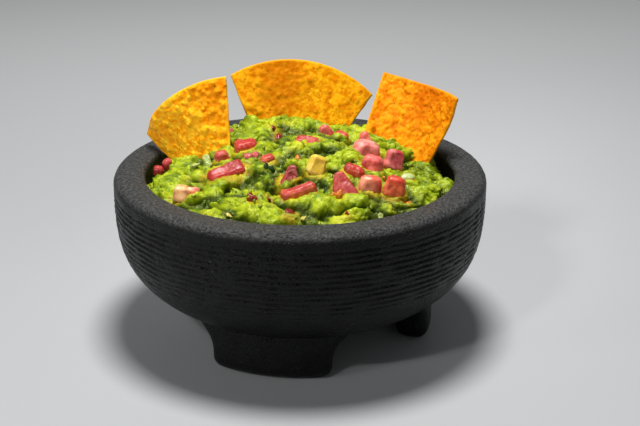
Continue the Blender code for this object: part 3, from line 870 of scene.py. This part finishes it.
# %% Bulge the lumps and keep them inside the bowl
BULGE = 0.55                 # millimetres, on a vertical face
STONE_GAP = 0.25             # between mash and stone
LIP_FROM = 90.0              # above this height the mash is free of the stone
here = points_of(guacamole) / MM
slope = normals_of(guacamole) * (1.0, 1.0, 0.0)
here += BULGE * slope * grown[:, None]
room = cavity_radius(np.clip(here[:, 2], 26.0, 87.0)) - STONE_GAP
far = np.hypot(here[:, 0], here[:, 1])
squeeze = np.minimum(1.0, room / np.maximum(far, 1e-6))
here[:, :2] *= np.where(here[:, 2] < LIP_FROM, squeeze, 1.0)[:, None]
put_points(guacamole, here * MM)
print("highest mash:", round(here[:, 2].max(), 1), "mm")
hand_in(guacamole, avocado, "avocado", "guacamole")

# %% [markdown]
# ## Cut tomato and onion
#
# Each die of the fixed model is a plain block with chamfered edges. A real die is soft: its faces
# sag, its corners are rounded and its cut is uneven. Each block is turned into an even fine mesh
# and then relaxed and disturbed with two sizes of noise, so it keeps its place and its size.
#
# Each piece has a flesh colour and a second colour, which lies toward one direction and at the
# corners. Where that direction points down, the second colour is painted shade, darker and deeper,
# as on the lower side of a wet, clear piece. Both are stored on the points.

# %% Soften the blocks
# name: flesh colour, second colour, direction in which the second colour lies (pointing down, painted
# shade)
LOOKS = {
    "tomato_01": ((0.39, 0.028, 0.034), (0.281, 0.012, 0.018), (0, 0, -1)),
    "tomato_02": ((0.406, 0.031, 0.036), (0.281, 0.012, 0.018), (0, 0, -1)),
    "tomato_03": ((0.86, 0.5, 0.21), (0.74, 0.19, 0.11), (1, 0, -0.3)),
    "tomato_04": ((0.46, 0.03, 0.016), (0.302, 0.01, 0.011), (0.3, 0, 0.8)),
    "tomato_05": ((0.484, 0.034, 0.02), (0.577, 0.099, 0.013), (0.4, 0, -0.9)),
    "tomato_06": ((0.515, 0.068, 0.045), (0.39, 0.019, 0.022), (0, 0, -1)),
    "tomato_07": ((0.593, 0.136, 0.045), (0.515, 0.05, 0.027), (0, 0, 1)),
    "tomato_08": ((0.562, 0.105, 0.068), (0.406, 0.025, 0.018), (0, 0, 1)),
    "tomato_09": ((0.562, 0.099, 0.076), (0.452, 0.031, 0.032), (0, 0, -1)),
    "tomato_10": ((0.562, 0.081, 0.032), (0.468, 0.025, 0.013), (0, 0, -1)),
    "tomato_11": ((0.328, 0.037, 0.032), (0.172, 0.007, 0.009), (0.7, 0, 0.5)),
    "tomato_12": ((0.66, 0.14, 0.08), (0.46, 0.031, 0.022), (-0.3, 0, 1)),
    "tomato_13": ((0.435, 0.038, 0.032), (0.326, 0.006, 0.007), (0.8, 0, -0.6)),
    "tomato_14": ((0.95, 0.3, 0.25), (0.68, 0.09, 0.1), (0.4, 0, -0.8)),
    "tomato_15": ((0.95, 0.28, 0.2), (0.74, 0.11, 0.09), (-0.5, 0, 0.5)),
    "tomato_16": ((0.8, 0.14, 0.12), (0.52, 0.035, 0.045), (-0.6, 0, -0.6)),
    "tomato_17": ((0.9, 0.24, 0.22), (0.56, 0.045, 0.07), (1, 0, 0.2)),
    "tomato_18": ((0.515, 0.043, 0.016), (0.39, 0.012, 0.007), (-0.5, 0, 0.5)),
    "tomato_19": ((0.95, 0.34, 0.19), (0.74, 0.11, 0.06), (1, 0, 0.3)),
    "tomato_20": ((0.88, 0.18, 0.05), (0.66, 0.06, 0.02), (0, 0, 1)),
    "tomato_yellow": ((0.8, 0.53, 0.05), (0.7, 0.38, 0.018), (0, 0, -1)),
    "onion_01": ((0.462, 0.518, 0.18), (0.35, 0.434, 0.1), (0, 0, -1)),
}


def fine_copy(name, cell):
    """An even fine mesh of a model piece, with its loose triangles joined first."""
    work = bmesh.new()
    work.from_mesh(frame["nodes"][name].data)
    bmesh.ops.remove_doubles(work, verts=work.verts, dist=1e-6)
    bmesh.ops.recalc_face_normals(work, faces=work.faces)
    mesh = bpy.data.meshes.new("cut " + name)
    work.to_mesh(mesh)
    work.free()
    item = add_object("cut " + name, mesh)
    remesh = item.modifiers.new("even", "REMESH")
    remesh.mode = "VOXEL"
    remesh.voxel_size = cell
    smooth = item.modifiers.new("soften", "SMOOTH")
    smooth.factor, smooth.iterations = 0.5, 1
    return add_object(name + "_cut", plain_copy(item))


CUT_CELL = 0.00042           # metres between the points of a cut piece
# How far a piece is from its block towards a round slice. The others stay close to their block.
NEARLY_SQUARE = 0.12
ROUNDED = {"tomato_14": 0.5, "tomato_15": 0.4, "tomato_17": 0.5, "tomato_19": 0.35, "tomato_20": 0.35,
           "tomato_13": 0.0, "tomato_11": 0.0, "tomato_16": 0.4}


def cut_piece(name, order):
    item = fine_copy(name, CUT_CELL)
    here = points_of(item) / MM
    middle = (here.max(0) + here.min(0)) / 2.0
    half = (here.max(0) - here.min(0)) / 2.0
    away = (here - middle) / half
    # Part of the way towards a round shape of the same size
    round_size = 1.12 / np.maximum(np.linalg.norm(away, axis=1), 0.3)
    share = ROUNDED.get(name, NEARLY_SQUARE) * np.clip(round_size * -2.0 + 3.0, 0.0, 1.0)
    here = middle + (here - middle) * (1.0 + share * (round_size - 1.0))[:, None]
    # Sagging faces and an uneven cut
    sag = 0.55 * noise_at(here, 4.5, 9.0 * order) + 0.07 * noise_at(here, 1.4, 5.0 * order)
    here = middle + (here - middle) * 1.02 + normals_of(item) * sag[:, None]
    put_points(item, here * MM)
    # The second colour, on one side and at the corners; on the lower side it is painted shade
    flesh, other, toward = LOOKS[name]
    toward = np.array(toward, float) / np.linalg.norm(toward)
    share = ((here - middle) / half) @ toward + 0.9 * noise_at(here, 4.0, 3.0 * order)
    share += 1.1 * np.clip(np.linalg.norm(away, axis=1) - 1.05, 0.0, 1.0)
    share = np.clip((share - 0.05) / 0.7, 0.0, 1.0)[:, None]
    colours = np.array(flesh) * (1.0 - share) + np.array(other) * share
    paint(item, "flesh", np.concatenate([colours, np.ones((len(colours), 1))], -1))
    return item


# %% [markdown]
# ## Finish of the cut pieces
#
# Wet cut tomato is glassy: light goes a few millimetres into it. Fine pale threads run through
# the flesh, and the surface glints. Onion and the yellow piece are made the same way in their
# own colours, so one function mixes all three.

# %% Cut vegetable material
def vegetable(name, thread, strength):
    material, tree, shader, place = new_material(
        name, Subsurface_Weight=0.45, Subsurface_Scale=0.0032, Roughness=0.40,
        Specular_IOR_Level=0.38, Coat_Weight=0.05, Coat_Roughness=0.12)
    shader.inputs["Subsurface Radius"].default_value = (1.0, 0.45, 0.35)
    colour = attribute(tree, "flesh", "Color")
    threads = ease(tree, grain(tree, 0.0030, 4.0, place, 2.5), 0.50, 0.62)
    colour = mixed(tree, threads, colour, mixed(tree, strength, colour, thread))
    shade = ease(tree, grain(tree, 0.0045, 2.0, place), 0.56, 0.36, 0.0, 0.55)
    colour = mixed(tree, shade, colour, rgb(0.34, 0.015, 0.015) if name == "tomato" else thread)
    tree.links.new(colour, shader.inputs["Base Color"])
    bump(tree, shader, grain(tree, 0.0016, 2.0, place), 0.0003, 0.4)
    return material


VEGETABLES = {
    "tomato": vegetable("tomato", rgb(0.95, 0.42, 0.30), 0.28),
    "yellow_tomato": vegetable("yellow tomato", rgb(0.80, 0.62, 0.16), 0.4),
    "onion": vegetable("onion", rgb(0.84, 0.88, 0.62), 0.4),
}
print("vegetables mixed:", len(VEGETABLES))

# %% Make every cut piece
for order, name in enumerate(GARNISH):
    slot = "yellow_tomato" if name == "tomato_yellow" else name.split("_")[0]
    hand_in(cut_piece(name, order), VEGETABLES[slot], slot, name)

# %% [markdown]
# ## Corn chips
#
# Chips are cut from a thin corn tortilla like slices of a cake, and fried until steam lifts
# blisters in them and the sheet curls. Each chip is a flat wedge wrapped round one bending axis,
# with two skins 1.9 mm apart that meet in a rounded edge. The wedge stands on its narrow end,
# which is hidden in the mash.

# %% Chip shapes, in millimetres
CHIP_HALF = 0.95                           # half the thickness
CHIP_EDGE_ROUND, CHIP_EDGE_SHARE = 0.9, 0.25
BEND_HEIGHT = 45.0                         # the sheet bends round a line this far from its narrow end
CHIPS = {
    "chip_left": dict(low=(-36.2, -2.0, 69.6), turn=-26.0, lean=7.0, roll=37.5, bow=-56.0,
                      bow_axis=-3.0, top=67.0, bottom=3.0, height=61.8, crown=7.2, wave=0.9),
    "chip_middle": dict(low=(-7.7, 27.7, 58.3), turn=2.7, lean=21.4, roll=-8.4, bow=-204.0,
                        bow_axis=12.6, top=82.9, bottom=3.6, height=69.7, crown=13.9, wave=0.4),
    "chip_right": dict(low=(42.1, 12.0, 71.1), turn=-27.4, lean=34.6, roll=-12.2, bow=41.0,
                       bow_axis=31.3, top=57.1, bottom=30.6, height=65.6, crown=2.0, wave=0.5),
}
CHIP_COLUMNS, CHIP_ROWS = 130, 120


def chip_sheet(chip, seed):
    """Flat places of the wedge: columns by rows, and how far each is from the border."""
    across, up = np.meshgrid(np.linspace(-1, 1, CHIP_COLUMNS + 1), np.linspace(0, 1, CHIP_ROWS + 1))
    half = chip["top"] / 2.0
    curve = (half ** 2 + chip["crown"] ** 2) / (2.0 * chip["crown"])
    width = chip["bottom"] / 2.0 + (half - chip["bottom"] / 2.0) * up
    rim = np.sqrt(curve ** 2 - (across * half) ** 2) - curve + chip["crown"]
    x, y = across * width, (chip["height"] + rim) * up
    border = np.minimum((1.0 - np.abs(across)) * width, (1.0 - up) * chip["height"])
    border = np.minimum(border, up * chip["height"])
    # An uneven border: the wobble dies out inwards and towards the narrow end
    flat = np.stack([x.ravel(), y.ravel(), np.full(x.size, seed)], -1)
    wobble = 0.45 * noise_at(flat, 6.0) * np.exp(-border.ravel() / 4.0)
    x += (wobble * np.sign(across.ravel()) * (np.abs(across.ravel()) > 0.01)).reshape(x.shape) * up
    return x, y, border, chip["wave"] * noise_at(flat, 11.0).reshape(x.shape)


def wrapped(chip, x, y, off):
    """Wraps the flat sheet round the bend, at a distance off its middle."""
    axis = math.radians(chip["bow_axis"])
    y = y - BEND_HEIGHT
    main = x * math.cos(axis) + y * math.sin(axis)
    beside = -x * math.sin(axis) + y * math.cos(axis)
    angle = main / chip["bow"]
    reach = chip["bow"] - off
    round_it, forward = reach * np.sin(angle), chip["bow"] - reach * np.cos(angle)
    flat = (round_it * math.cos(axis) - beside * math.sin(axis),
            round_it * math.sin(axis) + beside * math.cos(axis) + BEND_HEIGHT, forward)
    upright = Matrix(((1, 0, 0), (0, 0, -1), (0, 1, 0)))
    turned = (Matrix.Rotation(math.radians(chip["turn"]), 3, "Z")
              @ Matrix.Rotation(-math.radians(chip["lean"]), 3, "X")
              @ upright @ Matrix.Rotation(math.radians(chip["roll"]), 3, "Z"))
    return np.stack(flat, -1).reshape(-1, 3) @ np.array(turned).T + np.array(chip["low"])


def make_chip(name, seed):
    chip = CHIPS[name]
    x, y, border, wave = chip_sheet(chip, seed)
    edge = np.sqrt(np.clip(1.0 - (1.0 - np.clip(border / CHIP_EDGE_ROUND, 0.0, 1.0)) ** 2, 0.0, 1.0))
    thick = CHIP_HALF * (CHIP_EDGE_SHARE + (1.0 - CHIP_EDGE_SHARE) * edge)
    back = wrapped(chip, x, y, wave - thick)
    front = wrapped(chip, x, y, wave + thick)
    columns, rows, count = CHIP_COLUMNS + 1, CHIP_ROWS + 1, len(back)
    faces = []
    for quad in sheet_faces(columns, rows):
        faces += [quad, tuple(count + k for k in quad[::-1])]
    loop = sheet_border(columns, rows)
    for i, j in zip(loop, loop[1:] + loop[:1]):
        faces.append((j, i, count + i, count + j))
    item = mesh_object(name + " flat", np.concatenate([back, front]) * MM, faces)
    face_outwards(item.data)
    across, up = np.meshgrid(np.linspace(-1, 1, columns), np.linspace(0, 1, rows))
    for key, value in (("border", border * MM), ("across", across), ("up", up)):
        paint(item, key, np.tile(value.ravel(), 2))
    return item


# %% [markdown]
# Blisters are round domes of different sizes that stand well apart, and they fade out at the
# border. The recipe takes cells of two sizes and keeps only some of them, picked by each cell's
# own random colour. The height is stored, because the blister tops are painted a little paler, as
# painted highlight, and the hollows between blisters darker, as painted shade.

# %% Recipe: blisters
def blister_recipe():
    tree, given = new_recipe("blisters", Large_Size=0.006, Large_Height=0.0007, Small_Size=0.0028,
                             Small_Height=0.0003, Share=0.7, Material=bpy.types.Material)

    def domes(size, height, radius):
        scale = calc(tree, "DIVIDE", 1.0, size)
        found = add_node(tree, "ShaderNodeTexVoronoi", {"Scale": scale}, feature="F1")
        pick = [part_of(tree, found.outputs["Color"], axis) for axis in range(2)]
        kept = calc(tree, "LESS_THAN", pick[0], given["Share"])
        own = product(tree, kept, ease(tree, pick[1], 0.0, 1.0, 0.4, 1.0))
        flat = calc(tree, "DIVIDE", found.outputs["Distance"], radius)
        dome = calc(tree, "MAXIMUM", calc(tree, "SUBTRACT", 1.0, product(tree, flat, flat)), 0.0)
        return product(tree, dome, own, height)

    raised = calc(tree, "ADD", domes(given["Large_Size"], given["Large_Height"], 0.48),
                  domes(given["Small_Size"], given["Small_Height"], 0.5))
    sheet = calc(tree, "SUBTRACT", grain(tree, 0.004, 3.0, warp=1.0), 0.5)
    raised = calc(tree, "ADD", raised, product(tree, sheet, given["Large_Height"], 1.3))
    raised = product(tree, raised, ease(tree, stored(tree, "border"), 0.0, 0.002))
    kept = store(tree, given["Geometry"], "blister", raised)
    end_recipe(tree, push_out(tree, kept, stored(tree, "blister")), given["Material"])
    return tree


blisters = blister_recipe()
print("nodes in the blister recipe:", len(blisters.nodes))

# %% [markdown]
# Fried corn is golden where the sheet is thin and brown where it touched the pan. Each chip has
# its own three tones and its own toasted place, and small brown pits lie between the blisters.
# Its border is pale. The shader has hardly any gloss of its own, because the oil soaks in.

# %% Chip material
def chip_material(name, pale_and_painted_highlight, deep, toast_and_painted_shade, toast_at):
    """Fried corn: light and deep patches, darker toast in one place, a light border, painted highlight on
    blisters and painted shade between.
    """
    material, tree, shader, place = new_material(
        name, Roughness=0.45, Specular_IOR_Level=0.15, Subsurface_Weight=0.08,
        Subsurface_Scale=0.0015, Specular_Tint=rgb(1.0, 0.62, 0.12))
    shader.inputs["Subsurface Radius"].default_value = (1.0, 0.5, 0.15)
    blister = attribute(tree, "blister")
    patches = ease(tree, grain(tree, 0.0036, 5.0, place), 0.36, 0.60)
    colour = mixed(tree, patches, deep, pale_and_painted_highlight)
    side = calc(tree, "SUBTRACT", attribute(tree, "across"), toast_at[0])
    rise = calc(tree, "SUBTRACT", attribute(tree, "up"), toast_at[1])
    away = calc(tree, "SQRT", calc(tree, "ADD", product(tree, side, side), product(tree, rise, rise)))
    away = calc(tree, "ADD", away, product(tree, grain(tree, 0.012, 3.0, place), 0.5))
    colour = mixed(tree, ease(tree, away, 0.9, 0.35, 0.0, 0.7), colour, toast_and_painted_shade)
    # Painted light: blister tops are painted a little paler, as painted highlight, and hollows darker, as
    # painted shade
    colour = mixed(tree, ease(tree, blister, 0.0002, 0.0009, 0.0, 0.18), colour, pale_and_painted_highlight)
    colour = mixed(tree, ease(tree, blister, -0.00003, -0.0002, 0.0, 0.45), colour, toast_and_painted_shade)
    pits = ease(tree, from_cells(tree, 0.0030, place), 0.22, 0.08)
    pits = product(tree, pits, ease(tree, grain(tree, 0.010, 2.0, place), 0.48, 0.58, 0.0, 0.75))
    colour = mixed(tree, pits, colour, rgb(0.20, 0.05, 0.004))
    colour = mixed(tree, ease(tree, attribute(tree, "border"), 0.0012, 0.0003, 0.0, 0.6), colour, pale_and_painted_highlight)
    tree.links.new(colour, shader.inputs["Base Color"])
    bump(tree, shader, grain(tree, 0.0014, 3.0, place), 0.0006, 0.6)
    return material


# %% Make the three chips
# pale tone, also painted highlight on blisters; deep tone; toasted tone, also painted shade between
# blisters; where it is toasted across and up, and how strong its blisters are
CHIP_LOOKS = {
    "chip_left": (rgb(0.99, 0.52, 0.018), rgb(0.99, 0.36, 0.003), rgb(0.84, 0.21, 0.001),
                  (0.8, 1.0), 2.4),
    "chip_middle": (rgb(0.90, 0.41, 0.006), rgb(0.68, 0.21, 0.001), rgb(0.50, 0.12, 0.0005),
                    (-0.4, 0.9), 1.0),
    "chip_right": (rgb(0.88, 0.32, 0.006), rgb(0.68, 0.17, 0.001), rgb(0.50, 0.09, 0.0005),
                   (0.2, 1.1), 2.0),
}
for seed, (name, (*look, strong)) in enumerate(CHIP_LOOKS.items()):
    corn = chip_material(name + " corn", *look)
    piece = follow(blisters, make_chip(name, 10.0 * seed), name + "_fried",
                   Large_Height=0.0008 * strong, Small_Height=0.0004 * strong, Material=corn)
    hand_in(piece, corn, "chip", name)

# %% [markdown]
# ## Small bits
#
# Small bits of chilli, herbs, orange pepper, tomato and onion lie where the spoon left them.
# Modelling each by hand would be slow, and they are too small to tell apart. So each kind is one
# lumpy pebble shape, set on chosen points by a recipe that gives every copy its own turn and size.

# %% Pebble shapes and the ground they lie on
ground = BVHTree.FromObject(guacamole, bpy.context.evaluated_depsgraph_get())


def surface_at(x, y):
    """The place on the mash straight below a point well above it, in millimetres."""
    return ground.ray_cast(Vector((x, y, 200.0)) * MM, Vector((0, 0, -1)))[0] / MM


def pebble(name, stretch, bumps, seed, finer=2):
    work = bmesh.new()
    bmesh.ops.create_icosphere(work, subdivisions=finer, radius=1.0)
    for vert in work.verts:
        lump = noise.noise(vert.co * 1.3 + Vector((seed, 0.0, 0.0)))
        vert.co = Vector([c * s for c, s in zip(vert.co, stretch)]) * (1.0 + bumps * lump)
    mesh = bpy.data.meshes.new(name)
    work.to_mesh(mesh)
    work.free()
    mesh.shade_smooth()
    item = add_object(name, mesh)
    item.hide_render = True
    return item


print("top of the mash in the middle:", round(surface_at(0.0, 0.0)[2], 1), "mm")

# %% Recipe: a shape on each point
def chance(tree, seed):
    """A random number from 0 to 1 for each point or copy."""
    names = {2: 0.0, 3: 1.0, "Seed": seed}
    return add_node(tree, "FunctionNodeRandomValue", names, data_type="FLOAT").outputs[1]


def place_shapes(tree, points, given, turn_seed):
    """Sets the shape on each point in its stored size, with its own turn and its own tint."""
    turns = {0: (0.0, 0.0, 0.0), 1: (math.tau, math.tau, math.tau), "Seed": turn_seed}
    turn = add_node(tree, "FunctionNodeRandomValue", turns, data_type="FLOAT_VECTOR").outputs[0]
    shape = add_node(tree, "GeometryNodeObjectInfo", {"Object": given["Shape"]})
    placed = add_node(tree, "GeometryNodeInstanceOnPoints", {
        "Points": points, "Instance": shape.outputs["Geometry"], "Rotation": turn,
        "Scale": stored(tree, "size")}).outputs[0]
    tinted = store(tree, placed, "tint", chance(tree, 31), "INSTANCE")
    end_recipe(tree, tinted, given["Material"])


def bits_recipe():
    tree, given = new_recipe("bits", Shape=bpy.types.Object, Material=bpy.types.Material, Seed=1)
    points = add_node(tree, "GeometryNodeMeshToPoints", {"Mesh": given["Geometry"]}).outputs[0]
    place_shapes(tree, points, given, given["Seed"])
    return tree


bits = bits_recipe()
print("nodes in the recipe for bits:", len(bits.nodes))

# %% [markdown]
# ## Crumbs of mash
#
# Mashing leaves loose crumbs of avocado on the heap, too many to place by hand. So they are
# scattered by a recipe at a fixed density with a fixed seed, and kept away from the cut pieces and
# from the border. Their sizes are drawn so that small ones are far more common than large ones.

# %% Recipe: loose crumbs of mash
def crumbs_recipe():
    tree, given = new_recipe("crumbs", Shape=bpy.types.Object, Material=bpy.types.Material,
                             Density=1.0, Smallest=0.0006, Largest=0.0018, Seed=1)
    density = product(tree, stored(tree, "loose"), given["Density"])
    scattered = add_node(tree, "GeometryNodeDistributePointsOnFaces", {
        "Mesh": given["Geometry"], "Density": density, "Seed": given["Seed"]}).outputs["Points"]
    share = calc(tree, "POWER", chance(tree, 77), 2.0)
    spread = product(tree, share, calc(tree, "SUBTRACT", given["Largest"], given["Smallest"]))
    sized = store(tree, scattered, "size", calc(tree, "ADD", given["Smallest"], spread))
    place_shapes(tree, sized, given, 5)
    return tree

# %% [markdown]
# Crumbs and bits are moist and catch the light a little more than the mash does. The recipe
# stores a random tint for every copy, so one material gives each its own colour between two.

# %% Material of crumbs and bits
def tinted_material(name, first, second, roughness, scatter):
    """A moist bit whose colour lies between two colours, different for each piece."""
    material, tree, shader, place = new_material(
        name, Roughness=roughness, Subsurface_Weight=scatter, Subsurface_Scale=0.0015,
        Coat_Weight=0.3, Coat_Roughness=0.12)
    colour = mixed(tree, attribute(tree, "tint"), first, second)
    shade = ease(tree, grain(tree, 0.0015, 2.0, place), 0.35, 0.65, 0.65, 1.0)
    colour = mixed(tree, 1.0, colour, add_node(tree, "ShaderNodeCombineXYZ",
                   {0: shade, 1: shade, 2: shade}).outputs[0], "MULTIPLY")
    tree.links.new(colour, shader.inputs["Base Color"])
    bump(tree, shader, grain(tree, 0.0007, 2.0, place), 0.0002, 0.5)
    return material


# %% Scatter the crumbs on a copy of the mash
mash_crumb = tinted_material("mash crumb", rgb(0.12, 0.19, 0.003), rgb(0.44, 0.48, 0.014), 0.3, 0.15)
seedbed = guacamole.copy()
seedbed.data = guacamole.data.copy()
seedbed.parent = None
scene.collection.objects.link(seedbed)
here = points_of(seedbed) / MM
CRUMBS_TO, CRUMBS_BLEND = 0.90, 0.05       # shares of the way out
loose = np.zeros(len(here))
loose[:side * side] = np.clip((CRUMBS_TO - out) / CRUMBS_BLEND, 0.0, 1.0)
loose *= np.clip(free * 1.5 - 0.5, 0.0, 1.0)          # none close to the cut pieces
paint(seedbed, "loose", loose)
crumb_shape = pebble("crumb shape", (1.25, 0.95, 0.75), 0.5, 3.0, 2)
crumbs = follow(crumbs_recipe(), seedbed, "mash_crumbs", Shape=crumb_shape, Material=mash_crumb,
                Density=4500.0, Smallest=0.0005, Largest=0.0015, Seed=4)
hand_in(crumbs, mash_crumb, "avocado")

# %% [markdown]
# Last come the bits with known places. One loop makes every kind: it drops each bit straight down
# on the mash, lets it sink in by most of its radius, and keeps the kind as one piece.

# %% Shape and colours of each kind of bit
KINDS = {
    "chilli": ((1.2, 0.8, 0.45), "tomato", rgb(0.30, 0.012, 0.008), rgb(0.16, 0.008, 0.006)),
    "orange": ((1.1, 0.9, 0.7), "tomato", rgb(0.80, 0.22, 0.015), rgb(0.72, 0.30, 0.03)),
    "pink": ((1.1, 0.9, 0.8), "tomato", rgb(0.72, 0.16, 0.15), rgb(0.52, 0.06, 0.07)),
    "herb": ((1.3, 0.9, 0.35), "avocado", rgb(0.02, 0.07, 0.012), rgb(0.04, 0.12, 0.02)),
    "onion": ((1.2, 0.9, 0.6), "onion", rgb(0.48, 0.57, 0.13), rgb(0.60, 0.66, 0.22)),
    "yellow": ((1.2, 0.8, 0.5), "yellow_tomato", rgb(0.72, 0.60, 0.10), rgb(0.80, 0.70, 0.20)),
}
BIT_LIFT = 0.25                # a bit's middle lies this share of its radius above the mash
for order, (kind, spots) in enumerate(BITS.items()):
    stretch, slot, first, second = KINDS[kind]
    spot_places, sizes = [], []
    for spot_x, spot_y, size in spots:
        spot_places.append((surface_at(spot_x, spot_y) + Vector((0, 0, BIT_LIFT * size))) * MM)
        sizes.append(size * MM)
    source = mesh_object(kind + " points", spot_places, [])
    paint(source, "size", sizes)
    shape = pebble(kind + " shape", stretch, 0.6, 4.0 * order, 3)
    material = tinted_material(kind + " bit", first, second, 0.25, 0.2)
    piece = follow(bits, source, kind + "_bits", Shape=shape, Material=material, Seed=order + 2)
    hand_in(piece, material, slot)

# %% Clear away the helper shapes, because all their copies are real by now
helpers = [item for item in bpy.data.objects if item.name.endswith(" shape")]
print("helper shapes cleared away:", len(helpers))
for item in helpers:
    bpy.data.objects.remove(item)
